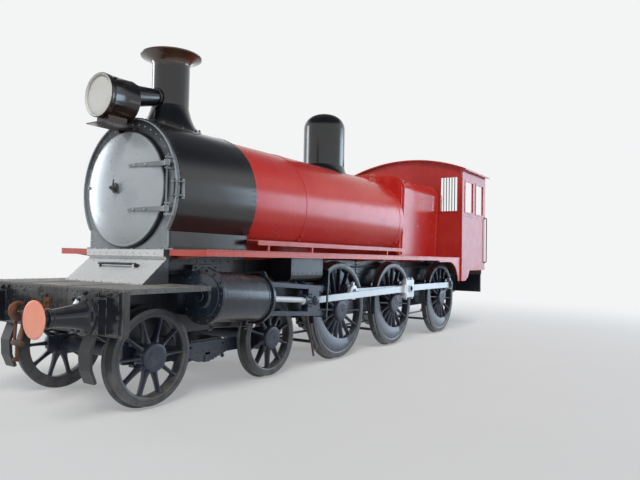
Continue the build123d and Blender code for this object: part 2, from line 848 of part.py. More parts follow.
def smokebox_door():
    """The dished door with two tapered hinge straps, a centre dart and its boss."""
    back_x = smokebox_front_x + door_seat + door_gap
    rim_x = back_x + door_rim
    crown_x = rim_x + door_bulge
    mid_r = door_r * 0.52
    cap_r = (door_r**2 + door_bulge**2) / (2 * door_bulge)
    outer_mid = crown_x - (cap_r - math.sqrt(cap_r**2 - mid_r**2))
    inner_r = door_r - 60
    profile = make_face(
        Polyline((rim_x, door_r), (back_x, door_r), (back_x, inner_r), (rim_x - door_wall + 6, inner_r))
        + ThreePointArc(
            (rim_x - door_wall + 6, inner_r), (outer_mid - door_wall, mid_r), (crown_x - door_wall, 0)
        )
        + Line((crown_x - door_wall, 0), (crown_x, 0))
        + ThreePointArc((crown_x, 0), (outer_mid, mid_r), (rim_x, door_r))
    )
    door = Pos(0, 0, boiler_z) * revolve(Plane.XZ * profile, axis=Axis.X)
    boss = rod_x(58, crown_x - 30, crown_x + 26, 0, boiler_z) + rod_x(24, crown_x, crown_x + 66, 0, boiler_z)
    door = door + boss
    tip_y = 200
    half = strap_height / 2
    for side in (-1, 1):
        z = boiler_z + side * hinge_spread
        strap = corners(
            (back_x + 6, door_r - 60),
            (hinge_x - 12, hinge_y),
            (hinge_x + 12, hinge_y),
            (rim_x + 26, door_r - 40),
            (rim_x + 92, tip_y),
            (rim_x + 64, tip_y),
        )
        tip_half = half * 0.6
        taper = corners((tip_y, z - tip_half), (hinge_y, z - half), (hinge_y, z + half), (tip_y, z + tip_half))
        strap = extrude(Plane.XY.offset(z - half) * strap, amount=2 * half, dir=(0, 0, 1))
        strap = strap & cross_plate(taper, back_x, crown_x + overlap)
        door = door + strap
        door = door + rod_z(26, hinge_x, hinge_y, z - half - 4, z + half + 4)
        door = door - rod_z(11 + pin_gap, hinge_x, hinge_y, z - strap_height, z + strap_height)
    return door


def chimney_outside():
    """The chimney's outer form, filled: foot, straight barrel and bell mouth."""
    foot_z = boiler_z + smokebox_r
    barrel_low = foot_z + chimney_foot_rise
    barrel_top = chimney_top_z - chimney_bell
    seat_z = boiler_z + smokebox_r * 0.8
    edge_z = chimney_top_z - chimney_lip_thick
    profile = make_face(
        Polyline((0, seat_z), (chimney_foot_r, seat_z), (chimney_foot_r, foot_z + 12))
        + ThreePointArc(
            (chimney_foot_r, foot_z + 12), (chimney_r + 49, foot_z + 110), (chimney_r, barrel_low)
        )
        + Line((chimney_r, barrel_low), (chimney_r, barrel_top))
        + ThreePointArc(
            (chimney_r, barrel_top),
            (chimney_r + 50, chimney_top_z - chimney_bell * 0.41),
            (chimney_lip_r, edge_z),
        )
        + Polyline((chimney_lip_r, edge_z), (chimney_lip_r, chimney_top_z), (0, chimney_top_z), (0, seat_z))
    )
    return Pos(chimney_x, 0, 0) * revolve(Plane.XZ * profile, axis=Axis.Z)


def chimney():
    """The cast chimney: saddle-shaped foot, straight barrel and wide bell mouth round its flue."""
    barrel_top = chimney_top_z - chimney_bell
    bell = make_face(
        Polyline((0, barrel_top), (flue_r, barrel_top))
        + ThreePointArc(
            (flue_r, barrel_top),
            (chimney_r + 24, chimney_top_z - chimney_bell * 0.26),
            (chimney_lip_r, chimney_top_z),
        )
        + Polyline((chimney_lip_r, chimney_top_z), (0, chimney_top_z), (0, barrel_top))
    )
    body = chimney_outside() - Pos(chimney_x, 0, 0) * revolve(Plane.XZ * bell, axis=Axis.Z)
    body = body - rod_z(flue_r, chimney_x, 0, boiler_z, barrel_top)
    return body - rod_x(smokebox_r, smokebox_rear_x, smokebox_front_x, 0, boiler_z)


def headlight_body():
    """The round lamp drum with its hooded front, the tapered neck to the chimney and its foot."""
    neck_end_x = chimney_x + (flue_r + chimney_r) / 2
    drum = rod_x(lamp_r, lamp_drum_x, lamp_front_x, 0, lamp_z)
    drum = drum - rod_x(lamp_r - lamp_rim, lamp_front_x - 60, lamp_front_x + overlap, 0, lamp_z)
    cone = loft([
        Plane(origin=(lamp_drum_x, 0, lamp_z), z_dir=(-1, 0, 0)) * Circle(lamp_r),
        Plane(origin=(lamp_neck_x, 0, lamp_neck_z), z_dir=(-1, 0, 0)) * Circle(lamp_neck_r),
    ])
    neck = loft([
        Plane(origin=(lamp_neck_x, 0, lamp_neck_z), z_dir=(-1, 0, 0)) * Circle(lamp_neck_r),
        Plane(origin=(neck_end_x, 0, lamp_neck_end_z), z_dir=(-1, 0, 0)) * Circle(lamp_neck_end_r),
    ])
    foot = block((lamp_drum_x + 60, lamp_front_x - 60), (-120, 120), (lamp_shelf_z, lamp_z))
    foot = foot - rod_x(lamp_r - 1, lamp_drum_x, lamp_front_x, 0, lamp_z)
    body = drum + cone + neck + foot - chimney_outside()
    return body - rod_x(smokebox_r, smokebox_rear_x, smokebox_front_x, 0, boiler_z)


def headlight_lens():
    """The pale round lens set in the lamp's mouth."""
    return rod_x(lamp_r - lamp_rim, lamp_front_x - 60, lamp_front_x - 14, 0, lamp_z)


def headlight_shelf():
    """The plate under the lamp, held on the smokebox front by a cleat on each side."""
    low = lamp_shelf_z - lamp_shelf_thick
    span = (smokebox_front_x, lamp_shelf_front_x)
    shelf = block(span, (-lamp_shelf_half, lamp_shelf_half), (low, lamp_shelf_z))
    for side in (-1, 1):
        cleat = block(
            (smokebox_front_x, smokebox_front_x + 60),
            (side * (lamp_shelf_half - 30), side * lamp_shelf_half),
            (low - 20, low),
        )
        shelf = shelf + cleat
    return shelf


def boiler_barrel():
    """The clad barrel with its bands."""
    barrel = rod_x(boiler_r, firebox_front_x, smokebox_rear_x, 0, boiler_z)
    half = band_width / 2
    for x in (smokebox_rear_x - half, smokebox_rear_x - half - band_pitch, firebox_front_x + band_end):
        barrel = barrel + rod_x(boiler_r + band_reach, x - half, x + half, 0, boiler_z)
    return barrel


def boiler_rails():
    """The narrow ledge along each side of the barrel, on short posts from the running board."""
    lip = 62
    outline = corners(
        (690, rail_z + 17),
        (922, rail_z),
        (922, rail_z - lip),
        (908, rail_z - lip),
        (908, rail_z - 15),
        (690, rail_z + 2),
    )
    rail = cross_plate(outline, firebox_front_x + 50, smokebox_rear_x - 8)
    for x in rail_post_xs:
        rail = rail + block((x - 14, x + 14), (892, 920), (board_top_z, rail_z - 10))
    return pair(rail - rod_x(boiler_r + band_reach, firebox_front_x, smokebox_rear_x, 0, boiler_z))


def dome():
    """The steam dome's round-topped casing."""
    side_top = dome_top_z - dome_corner - 30
    seat_z = boiler_z + boiler_r
    mid, join, crown_mid = crown_arcs(dome_r, side_top, dome_top_z, dome_corner)
    profile = make_face(
        Polyline((0, seat_z - 160), (dome_r + 34, seat_z - 160), (dome_r + 34, seat_z + 4))
        + ThreePointArc((dome_r + 34, seat_z + 4), (dome_r + 9, seat_z + 24), (dome_r, seat_z + 70))
        + Line((dome_r, seat_z + 70), (dome_r, side_top))
        + ThreePointArc((dome_r, side_top), mid, join)
        + ThreePointArc(join, crown_mid, (0, dome_top_z))
        + Line((0, dome_top_z), (0, seat_z - 160))
    )
    body = Pos(dome_x, 0, 0) * revolve(Plane.XZ * profile, axis=Axis.Z)
    return body - rod_x(boiler_r, firebox_front_x, smokebox_rear_x, 0, boiler_z)


def crown_arcs(half, spring_z, crown_z, shoulder):
    """Points of a shoulder arc that starts upright at (half, spring_z) and of the tangent crown arc."""
    centre_y = half - shoulder
    lift = crown_z - spring_z
    crown_r = (centre_y**2 + lift**2 - shoulder**2) / (2 * (lift - shoulder))
    bearing = math.atan2(spring_z - (crown_z - crown_r), centre_y)
    shoulder_mid = (
        centre_y + shoulder * math.cos(bearing / 2),
        spring_z + shoulder * math.sin(bearing / 2),
    )
    join = (crown_r * math.cos(bearing), crown_z - crown_r + crown_r * math.sin(bearing))
    crown_bearing = (bearing + math.pi / 2) / 2
    crown_mid = (crown_r * math.cos(crown_bearing), crown_z - crown_r + crown_r * math.sin(crown_bearing))
    return shoulder_mid, join, crown_mid


def firebox_outline(inset):
    """The firebox casing's section: nearly upright sides, round shoulders and a low arched crown."""
    half = firebox_half - inset
    low_half = firebox_low_half - inset
    crown = firebox_crown_z - inset
    mid, join, _ = crown_arcs(half, firebox_spring_z, crown, firebox_shoulder_r - inset)
    return make_face(
        Polyline(
            (-half, firebox_spring_z),
            (-low_half, board_top_z),
            (low_half, board_top_z),
            (half, firebox_spring_z),
        )
        + ThreePointArc((half, firebox_spring_z), mid, join)
        + ThreePointArc(join, (0, crown), (-join[0], join[1]))
        + ThreePointArc((-join[0], join[1]), (-mid[0], mid[1]), (-half, firebox_spring_z))
    )


def firebox_casing():
    """The firebox from its throat to the backhead, with the leg between the frames."""
    recess_x = firebox_front_x - firebox_recess_length
    body = cross_plate(firebox_outline(firebox_recess), recess_x, firebox_front_x)
    body = body + cross_plate(firebox_outline(0), firebox_rear_x, recess_x)
    leg = block(
        (firebox_leg_rear_x, firebox_leg_front_x),
        (-firebox_leg_half, firebox_leg_half),
        (firebox_leg_low_z, board_top_z + 10),
    )
    body = body + leg - boiler_barrel()
    return body - rod_x(firehole_r, firebox_rear_x, firebox_rear_x + firehole_depth, 0, firehole_z)


def ashpan():
    """The hopper under the firebox leg."""
    low = 620
    outline = corners(
        (firebox_leg_front_x, firebox_leg_low_z),
        (firebox_leg_front_x - 120, low),
        (firebox_leg_rear_x + 140, low),
        (firebox_leg_rear_x, firebox_leg_low_z),
    )
    return side_plate(outline, -firebox_leg_half + 10, firebox_leg_half - 10)


def safety_valves():
    """Two small valves on the barrel's last ring, one on each side of the crown."""
    low = boiler_z + boiler_r * 0.8
    valve = rod_z(74, valve_x, valve_y, low, valve_top_z - 90)
    valve = valve + rod_z(46, valve_x, valve_y, low, valve_top_z)
    valve = valve + rod_z(62, valve_x, valve_y, valve_top_z - 44, valve_top_z - 14)
    return pair(valve - boiler_barrel())


# Running boards and cab
def apron_outline():
    """The deep plate under the board's rear end, with a quarter round over the trailing wheel."""
    arc_z = apron_low_z - apron_arc_r
    reach = math.sqrt(apron_arc_r**2 - (arc_z - cab_tail_z) ** 2)
    diagonal = apron_arc_r * math.sqrt(0.5)
    return make_face(
        Polyline(
            (apron_arc_x - reach, cab_tail_z),
            (cab_front_x, cab_tail_z),
            (cab_front_x, board_top_z),
            (apron_front_x, board_top_z),
            (apron_front_x, apron_low_z),
            (apron_arc_x, apron_low_z),
        )
        + ThreePointArc(
            (apron_arc_x, apron_low_z),
            (apron_arc_x - diagonal, arc_z + diagonal),
            (apron_arc_x - reach, cab_tail_z),
        )
    )


def running_boards():
    """Left and right boards from the smokebox front to the cab, with valances and brackets."""
    low = board_top_z - board_thick
    hem_z = board_top_z - valance_depth
    board = block((cab_front_x, smokebox_front_x), (board_inner_y, board_half), (low, board_top_z))
    valance_y = (board_half - sheet, board_half)
    board = board + block((apron_front_x, smokebox_front_x), valance_y, (hem_z, board_top_z))
    board = board + side_plate(apron_outline(), *valance_y)
    board = board + block(
        (smokebox_front_x - sheet, smokebox_front_x), (board_inner_y, board_half), (hem_z, board_top_z)
    )
    gusset = corners(
        (frame_outer_y, frame_top_z - 20),
        (board_half - sheet, hem_z + 10),
        (board_half - sheet, low),
        (frame_outer_y, low),
    )
    for x in board_bracket_xs:
        board = board + cross_plate(gusset, x - board_bracket_thick / 2, x + board_bracket_thick / 2)
    board = board - block((smokebox_rear_x + 30, 0), (0, saddle_half), (frame_top_z, board_top_z))
    board = board - cross_plate(firebox_outline(0), firebox_rear_x, firebox_front_x)
    return pair(board - corner_bead())


def roof_outline(lift):
    """The arched roof's section between its upper face and one that lies lower by lift."""
    eave_z = roof_crown_z - roof_rise
    upper = ThreePointArc((roof_half, eave_z), (0, roof_crown_z), (-roof_half, eave_z))
    lower = ThreePointArc((-roof_half, eave_z - lift), (0, roof_crown_z - lift), (roof_half, eave_z - lift))
    left = Line((roof_half, eave_z - lift), (roof_half, eave_z))
    right = Line((-roof_half, eave_z), (-roof_half, eave_z - lift))
    return make_face(upper + right + lower + left)


def under_roof():
    """Everything that lies above the roof's lower face, to trim the walls with."""
    eave_z = roof_crown_z - roof_rise - roof_thick
    top = roof_crown_z + roof_rise
    arc = ThreePointArc((roof_half, eave_z), (0, roof_crown_z - roof_thick), (-roof_half, eave_z))
    far = roof_half + cab_half
    rest = Polyline(
        (-roof_half, eave_z), (-far, eave_z), (-far, top), (far, top), (far, eave_z), (roof_half, eave_z)
    )
    return cross_plate(make_face(arc + rest), roof_rear_x, roof_front_x)


def cab_roof():
    """The arched roof sheet."""
    return cross_plate(roof_outline(roof_thick), roof_rear_x, roof_front_x)


def corner_bead():
    """The round bead down the left front corner of the cab."""
    return rod_z(cab_bead_r, cab_front_x, cab_half - cab_bead_r, cab_tail_z, roof_crown_z)


def cab_sides():
    """Left and right side sheets with two windows each, the tail at the foot and the corner beads."""
    outline = corners(
        (cab_front_x, cab_tail_z),
        (cab_tail_rear_x, cab_tail_z),
        (cab_tail_rear_x - 180, cab_tail_z + 90),
        (cab_tail_rear_x - 280, cab_skirt_z),
        (cab_rear_x, cab_skirt_z),
        (cab_rear_x, roof_crown_z),
        (cab_front_x, roof_crown_z),
    )
    height = side_window_top_z - side_window_low_z
    for x in side_window_xs:
        outline = outline - Pos(x, side_window_low_z + height / 2) * Rectangle(side_window_width, height)
    side = side_plate(outline, cab_half - cab_wall, cab_half)
    pillar_y = (cab_half - cab_wall - 20, cab_half)
    pillar = block((cab_rear_x, cab_rear_x + 60), pillar_y, (cab_skirt_z, roof_crown_z))
    return pair(side + pillar + corner_bead() - under_roof())


def window_bars():
    """Upright round bars in both front windows."""
    count = 5
    pitch = (front_window_outer_y - front_window_inner_y) / (count + 1)
    bars = [
        rod_z(
            10,
            cab_front_x - cab_wall / 2,
            front_window_inner_y + pitch * (n + 1),
            front_window_low_z,
            front_window_top_z,
        )
        for n in range(count)
    ]
    return pair(Compound(bars))


def cab_front():
    """The front sheet around the firebox, with a window on each side."""
    inside = cab_half - cab_wall
    sheet_x = (cab_front_x - cab_wall, cab_front_x)
    front = block(sheet_x, (-inside, inside), (board_top_z, roof_crown_z))
    for side in (-1, 1):
        window = (side * front_window_inner_y, side * front_window_outer_y)
        front = front - block(sheet_x, window, (front_window_low_z, front_window_top_z))
    front = front - cross_plate(firebox_outline(0), firebox_rear_x, firebox_front_x)
    return front - under_roof() - corner_bead() - mirrored(corner_bead())


def cab_floor():
    """The floor plate with its bearers on the frames and the plate under its rear edge."""
    inside = cab_half - cab_wall
    notch = firebox_half + 5
    floor = block((cab_rear_x, cab_front_x - cab_wall), (-inside, inside), (floor_low_z, board_top_z))
    floor = floor - block((firebox_rear_x, 0), (-notch, notch), (0, board_top_z + overlap))
    floor = floor - block((cab_rear_x, cab_rear_x + 60), (inside - 20, inside), (floor_low_z, board_top_z))
    floor = floor - block((cab_rear_x, cab_rear_x + 60), (-inside, 20 - inside), (floor_low_z, board_top_z))
    for side in (-1, 1):
        floor = floor + block(
            (frame_drop_x, firebox_rear_x - 5),
            (side * frame_inner_y, side * frame_outer_y),
            (frame_top_z, floor_low_z),
        )
    rear_half = inside - 60
    return floor + block(
        (cab_rear_x, cab_rear_x + sheet), (-rear_half, rear_half), (frame_rear_top_z, floor_low_z)
    )


def backhead_fittings():
    """Regulator, gauge glasses, gauge and pipes on the backhead."""
    face = firebox_rear_x
    body = rod_x(60, face - 70, face, 0, regulator_z)
    body = body + block((face - 74, face - 50), (-20, 300), (regulator_z - 16, regulator_z + 16))
    glass_low, glass_top = regulator_z - 400, regulator_z - 100
    for y in (-330, 330):
        body = body + rod_z(14, face - 60, y, glass_low, glass_top)
        for z in (glass_low, glass_top):
            body = body + rod_x(22, face - 76, face, y, z)
    manifold_z = regulator_z + 170
    manifold = rod_y(44, face - 52, -330, 330, manifold_z)
    manifold = manifold + block((face - 60, face), (-60, 60), (manifold_z - 30, manifold_z + 30))
    gauge = rod_x(95, face - 60, face, 560, regulator_z - 80)
    return Compound([*body.solids(), *manifold.solids(), *gauge.solids()])


def firehole_frame():
    """The ring round the firehole, with the two lugs and the pin of the door's hinge."""
    face = firebox_rear_x
    ring = rod_x(firehole_r + firehole_ring, face - 30, face, 0, firehole_z)
    ring = ring - rod_x(firehole_r, face - 60, face, 0, firehole_z)
    pin_y = firehole_r + firehole_ring + 1
    for low in (-120, 100):
        ring = ring + block(
            (face - firehole_pin_out - 12, face),
            (pin_y - 15, pin_y + 15),
            (firehole_z + low, firehole_z + low + 20),
        )
    return ring + rod_z(9, face - firehole_pin_out, pin_y, firehole_z - 110, firehole_z + 110)


def firehole_door():
    """The round firehole door on its side hinge."""
    face = firebox_rear_x - 30 - door_gap
    y = firehole_r + firehole_ring + 1
    pin_x = firebox_rear_x - firehole_pin_out
    door = rod_x(firehole_r + 22, face - 24, face, 0, firehole_z)
    door = door + block((pin_x - 8, pin_x + 8), (firehole_r - 30, y), (firehole_z - 60, firehole_z + 60))
    door = door + rod_z(20, pin_x, y, firehole_z - 94, firehole_z + 94)
    door = door - rod_z(9 + pin_gap, pin_x, y, firehole_z - 160, firehole_z + 160)
    handle_y = (-firehole_r + 20, -firehole_r + 50)
    return door + block((face - 64, face - 20), handle_y, (firehole_z - 60, firehole_z + 60))


def sandboxes():
    """A rounded sandbox under each running board, ahead of the leading drivers."""
    box = block(
        (sandbox_rear_x, sandbox_front_x),
        (sandbox_inner_y, sandbox_outer_y),
        (sandbox_low_z, board_top_z - board_thick),
    )
    edges = box.edges().filter_by(Axis.X).sort_by(Axis.Z)[:2]
    box = fillet(edges, 90)
    return pair(box)


def drag_box():
    """The box between the rear frame ends, slotted and bored for the drawbar pin."""
    height = (drag_low_z, frame_rear_top_z)
    body = block((drag_rear_x, drag_front_x), (-frame_inner_y, frame_inner_y), height)
    beam = block((drag_rear_x, frame_rear_x), (-half_width + 60, half_width - 60), height)
    slot = block((drag_rear_x - overlap, drag_rear_x + 320), (-170, 170), (coupling_z - 60, coupling_z + 60))
    bore = rod_z(drawbar_pin_r, drag_rear_x + 130, 0, drag_low_z - overlap, frame_rear_top_z + overlap)
    return body + beam - slot - bore


# Every piece by its name
cranks = (left_crank_deg, right_crank_deg)
driver = (driver_r, driver_spokes, driver_hub_r)
bogie_wheel = (bogie_wheel_r, bogie_spokes, bogie_hub_r)
pieces = {
    "main_frames": main_frames(),
    "axleboxes": axleboxes(),
    "driving_springs": springs(),
    "brake_gear": brake_gear(),
    "front_beam": front_beam(),
    "buffer_stocks": buffer_stocks(),
    "buffer_heads": buffer_heads(),
    "front_coupling": front_coupling(),
    "front_platform": front_platform(),
    "guard_irons": guard_irons(),
    "smokebox_saddle": saddle(),
    "smokebox_shell": smokebox_shell(),
    "smokebox_front": smokebox_front(),
    "smokebox_door": smokebox_door(),
    "chimney": chimney(),
    "headlight_body": headlight_body(),
    "headlight_lens": headlight_lens(),
    "headlight_shelf": headlight_shelf(),
    "boiler_barrel": boiler_barrel(),
    "boiler_rails": boiler_rails(),
    "steam_dome": dome(),
    "firebox_casing": firebox_casing(),
    "ashpan": ashpan(),
    "safety_valves": safety_valves(),
    "running_boards": running_boards(),
    "cab_front": cab_front(),
    "cab_sides": cab_sides(),
    "cab_window_bars": window_bars(),
    "cab_roof": cab_roof(),
    "cab_floor": cab_floor(),
    "backhead_fittings": backhead_fittings(),
    "firehole_frame": firehole_frame(),
    "firehole_door": firehole_door(),
    "sandboxes": sandboxes(),
    "drag_box": drag_box(),
    "cylinder_left": cylinder(),
    "cylinder_right": mirrored(cylinder()),
    "slide_bars": pair(slide_bars()),
    "motion_brackets": pair(motion_bracket()),
    "crosshead_left": crosshead(left_crank_deg),
    "crosshead_right": mirrored(crosshead(right_crank_deg)),
    "connecting_rod_left": connecting_rod(left_crank_deg),
    "connecting_rod_right": mirrored(connecting_rod(right_crank_deg)),
    "coupling_rod_left": coupling_rod(left_crank_deg),
    "coupling_rod_right": mirrored(coupling_rod(right_crank_deg)),
    "bogie_frame": bogie_frame(),
    "bogie_wheelset_front": wheelset(bogie_front_x, *bogie_wheel, 0, None, 0),
    "bogie_wheelset_rear": wheelset(bogie_rear_x, *bogie_wheel, 18, None, 0),
    "driving_wheelset_leading": wheelset(leading_x, *driver, 4, cranks, coupling_rod_outer_y),
    "driving_wheelset_main": wheelset(main_x, *driver, 4, cranks, coupling_rod_outer_y),
    "driving_wheelset_trailing": wheelset(trailing_x, *driver, 4, cranks, coupling_rod_outer_y),
}

middle_x = (buffer_face_x + drag_rear_x) / 2
os.makedirs("parts", exist_ok=True)
for name, shape in pieces.items():
    export_step(Pos(-middle_x, 0, flange_height) * shape, "parts/" + name + ".step")
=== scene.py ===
import math

import bmesh
import bpy
import numpy as np
from mathutils import Matrix, Vector


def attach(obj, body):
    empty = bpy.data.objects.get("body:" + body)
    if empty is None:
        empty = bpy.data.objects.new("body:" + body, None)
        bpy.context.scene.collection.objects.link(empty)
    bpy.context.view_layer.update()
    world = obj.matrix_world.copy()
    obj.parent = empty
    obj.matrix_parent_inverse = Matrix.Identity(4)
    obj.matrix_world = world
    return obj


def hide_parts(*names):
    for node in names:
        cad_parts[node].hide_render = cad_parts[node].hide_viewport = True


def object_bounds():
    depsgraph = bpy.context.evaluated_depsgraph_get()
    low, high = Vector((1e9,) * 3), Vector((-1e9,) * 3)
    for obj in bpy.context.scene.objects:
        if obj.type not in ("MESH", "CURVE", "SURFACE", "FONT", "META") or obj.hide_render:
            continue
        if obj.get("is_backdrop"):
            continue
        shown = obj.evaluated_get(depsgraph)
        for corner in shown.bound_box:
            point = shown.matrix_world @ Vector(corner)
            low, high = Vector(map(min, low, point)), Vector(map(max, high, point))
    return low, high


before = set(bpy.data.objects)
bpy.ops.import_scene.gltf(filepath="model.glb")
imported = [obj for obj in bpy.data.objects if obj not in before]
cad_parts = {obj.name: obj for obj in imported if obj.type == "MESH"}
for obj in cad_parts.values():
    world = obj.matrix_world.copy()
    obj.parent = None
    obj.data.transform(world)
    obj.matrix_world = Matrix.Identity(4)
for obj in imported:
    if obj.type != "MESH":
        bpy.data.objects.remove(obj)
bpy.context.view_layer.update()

# The frame's origin lies under the middle of the engine at the foot of the flanges. The sizes
# below are metres from the leading bogie axle and the top of the rails, and AT moves them.
AT = np.array([4.325, 0.0, 0.028])
BOILER_Z = 2.405
BOILER_R = 0.860
SMOKEBOX_R = 0.880
TURN = 2 * math.pi
AHEAD, OUT, UP = (1, 0, 0), (0, 1, 0), (0, 0, 1)
AXLES = (-3.820, -5.800, -8.240)
FRAME_FACE = 0.6345


# Shapes

def quads(rows, columns, close_rows=False, close_columns=False):
    """The four-sided faces of a grid of rows by columns points."""
    i = np.arange(rows if close_rows else rows - 1)[:, None]
    j = np.arange(columns if close_columns else columns - 1)[None, :]
    below, beside = (i + 1) % rows, (j + 1) % columns
    corners = [i * columns + j, i * columns + beside, below * columns + beside, below * columns + j]
    return np.stack(np.broadcast_arrays(*corners), -1).reshape(-1, 4)


def unit(v):
    """Each vector of an array at length one."""
    return v / np.maximum(np.linalg.norm(v, axis=-1, keepdims=True), 1e-12)


def across(direction):
    """Two directions square to each given one and to each other."""
    d = unit(np.atleast_2d(np.asarray(direction, float)))
    helper = np.where(np.abs(d[:, 2:3]) > 0.9, [[1.0, 0.0, 0.0]], [[0.0, 0.0, 1.0]])
    first = unit(np.cross(helper, d))
    return first, np.cross(d, first)


def turned(profile, centre, axis, count=48, closed=False):
    """A turned shape: each profile point is (along the axis, radius), carried once round the axis."""
    profile = np.asarray(profile, float)
    angle = np.linspace(0, TURN, count, endpoint=False)
    first, second = (a[0] for a in across(axis))
    ring = np.cos(angle)[:, None] * first + np.sin(angle)[:, None] * second
    along = unit(np.asarray(axis, float))
    points = np.asarray(centre, float) + profile[:, None, 0:1] * along + profile[:, None, 1:2] * ring
    return points.reshape(-1, 3), quads(len(profile), count, closed, True)


def swept(path, half_u, half_v=None, power=2.0, count=12, up=UP, taper=None):
    """A bar whose rounded section follows a path. The section is the superellipse of half sizes
    half_u and half_v with the given power, and taper scales it, or each half, at each path point."""
    path = np.asarray(path, float)
    half_v = half_u if half_v is None else half_v
    taper = np.ones(len(path)) if taper is None else np.asarray(taper, float)
    taper = np.broadcast_to(taper.reshape(len(path), -1), (len(path), 2))
    tangent = unit(np.gradient(path, axis=0))
    up = np.asarray(up, float)
    side = unit(np.cross(tangent, up))
    rise = np.cross(side, tangent)
    angle = np.linspace(0, TURN, count, endpoint=False) + TURN / count / 2
    c, s = np.cos(angle), np.sin(angle)
    u = half_u * np.sign(c) * np.abs(c) ** (2 / power)
    v = half_v * np.sign(s) * np.abs(s) ** (2 / power)
    sideways = (taper[:, 0:1] * u)[..., None] * side[:, None]
    upwards = (taper[:, 1:2] * v)[..., None] * rise[:, None]
    body = path[:, None] + sideways + upwards
    ends = [np.repeat(path[k][None, None], count, 1) for k in (0, -1)]
    points = np.concatenate([ends[0], body, ends[1]])
    return points.reshape(-1, 3), quads(len(path) + 2, count, False, True)


def slab(outline, low, high, plane="xz", bevel=0.004):
    """A plate: the outline, a closed row of corners, is carried from low to high along the third
    axis, and both rims are drawn in towards the outline's middle by the bevel."""
    outline = np.asarray(outline, float)
    middle = outline.mean(0)
    inward = unit(middle - outline)
    rows = [(low, None), (low, bevel), (low + bevel, 0.0), (high - bevel, 0.0), (high, bevel), (high, None)]
    first, second, third = {"xz": (0, 2, 1), "xy": (0, 1, 2), "yz": (1, 2, 0)}[plane]
    points = np.empty((len(rows), len(outline), 3))
    for level, (height, inset) in zip(points, rows):
        level[:, [first, second]] = middle if inset is None else outline + inward * inset
        level[:, third] = height
    return points.reshape(-1, 3), quads(len(rows), len(outline), False, True)


def brick(x, y, z, bevel=0.004):
    """A box with bevelled edges from its three spans."""
    outline = [(x[0], z[0]), (x[1], z[0]), (x[1], z[1]), (x[0], z[1])]
    return slab(outline, min(y), max(y), "xz", bevel)


def stub(profile, count):
    """A small turned part with its axis along Z, to be set in its places by copies."""
    return turned(profile, (0, 0, 0), UP, count)


def copies(shape, places, directions):
    """One small shape, drawn with its axis along Z, set at every place with its axis along the
    direction there."""
    points, faces = shape
    places = np.atleast_2d(np.asarray(places, float))
    directions = np.broadcast_to(np.atleast_2d(np.asarray(directions, float)), places.shape)
    first, second = across(directions)
    basis = np.stack([first, second, unit(directions)], 1)
    moved = places[:, None] + np.einsum("pk,nkc->npc", points, basis)
    count = len(points)
    shifted = faces[None] + (np.arange(len(places)) * count)[:, None, None]
    return moved.reshape(-1, 3), shifted.reshape(-1, faces.shape[1])


def rivets(r, places, ways):
    """Snap heads at every place: low domes on the sheet."""
    dome = [(-0.002, 0), (-0.002, r), (r * 0.25, r * 0.94), (r * 0.6, r * 0.6), (r * 0.72, 0)]
    return copies(stub(dome, 8), places, ways)


def nuts(r, places, ways):
    """Six-sided nuts at every place, with a chamfered top and the stud's rounded end standing out."""
    h = r * 0.85
    profile = [(-0.004, 0), (-0.004, r), (h * 0.85, r), (h, r * 0.86), (h, r * 0.5), (h * 1.5, r * 0.48),
        (h * 1.6, r * 0.3), (h * 1.6, 0)]
    return copies(stub(profile, 6), places, ways)


def ring_of(count, radius, centre, axis, first=0.0):
    """Places spread evenly round a circle, and the directions that point out from it."""
    angle = math.radians(first) + np.arange(count) * TURN / count
    one, two = (a[0] for a in across(axis))
    out = np.cos(angle)[:, None] * one + np.sin(angle)[:, None] * two
    return np.asarray(centre, float) + radius * out, out


def row(start, end, count):
    """Places in a straight row."""
    return np.linspace(start, end, count)


def level_line(x, y, z):
    """Places at every x of an array, all at one y and one z."""
    return np.stack([x, 0 * x + y, 0 * x + z], 1)


def bezier(start, first_pull, last_pull, end, count):
    """A smooth curve that leaves the start towards one point and reaches the end from another:
    the sum of (1-t)^3, 3(1-t)^2 t, 3(1-t)t^2 and t^3 times the four points."""
    t = np.linspace(0, 1, count)[:, None]
    a, b, c, d = (np.array(p) for p in (start, first_pull, last_pull, end))
    return (1 - t) ** 3 * a + 3 * (1 - t) ** 2 * t * b + 3 * (1 - t) * t**2 * c + t**3 * d


def evenly(path, ways, first, count):
    """Even steps along a line in Y and Z from the first distance to its end: places and ways out."""
    gone = np.concatenate([[0], np.cumsum(np.linalg.norm(np.diff(path, axis=0), axis=1))])
    steps = np.linspace(first, gone[-1], count)
    return [np.stack([np.interp(steps, gone, line[:, k]) for k in (0, 1)], 1) for line in (path, ways)]


def box_lines(x, z, y, gap):
    """Places along the four edges of an upright rectangle, at about the gap from each other."""
    nx, nz = max(2, round(abs(x[1] - x[0]) / gap) + 1), max(2, round(abs(z[1] - z[0]) / gap) + 1)
    return np.concatenate([
        row((x[0], y, z[0]), (x[1], y, z[0]), nx),
        row((x[0], y, z[1]), (x[1], y, z[1]), nx),
        row((x[0], y, z[0]), (x[0], y, z[1]), nz)[1:-1],
        row((x[1], y, z[0]), (x[1], y, z[1]), nz)[1:-1],
    ])


def mirror_y(shape):
    """The same shape on the other side of the engine."""
    return shape[0] * [1, -1, 1], shape[1]


def both(shape):
    """A shape and its mirror image."""
    return [shape, mirror_y(shape)]


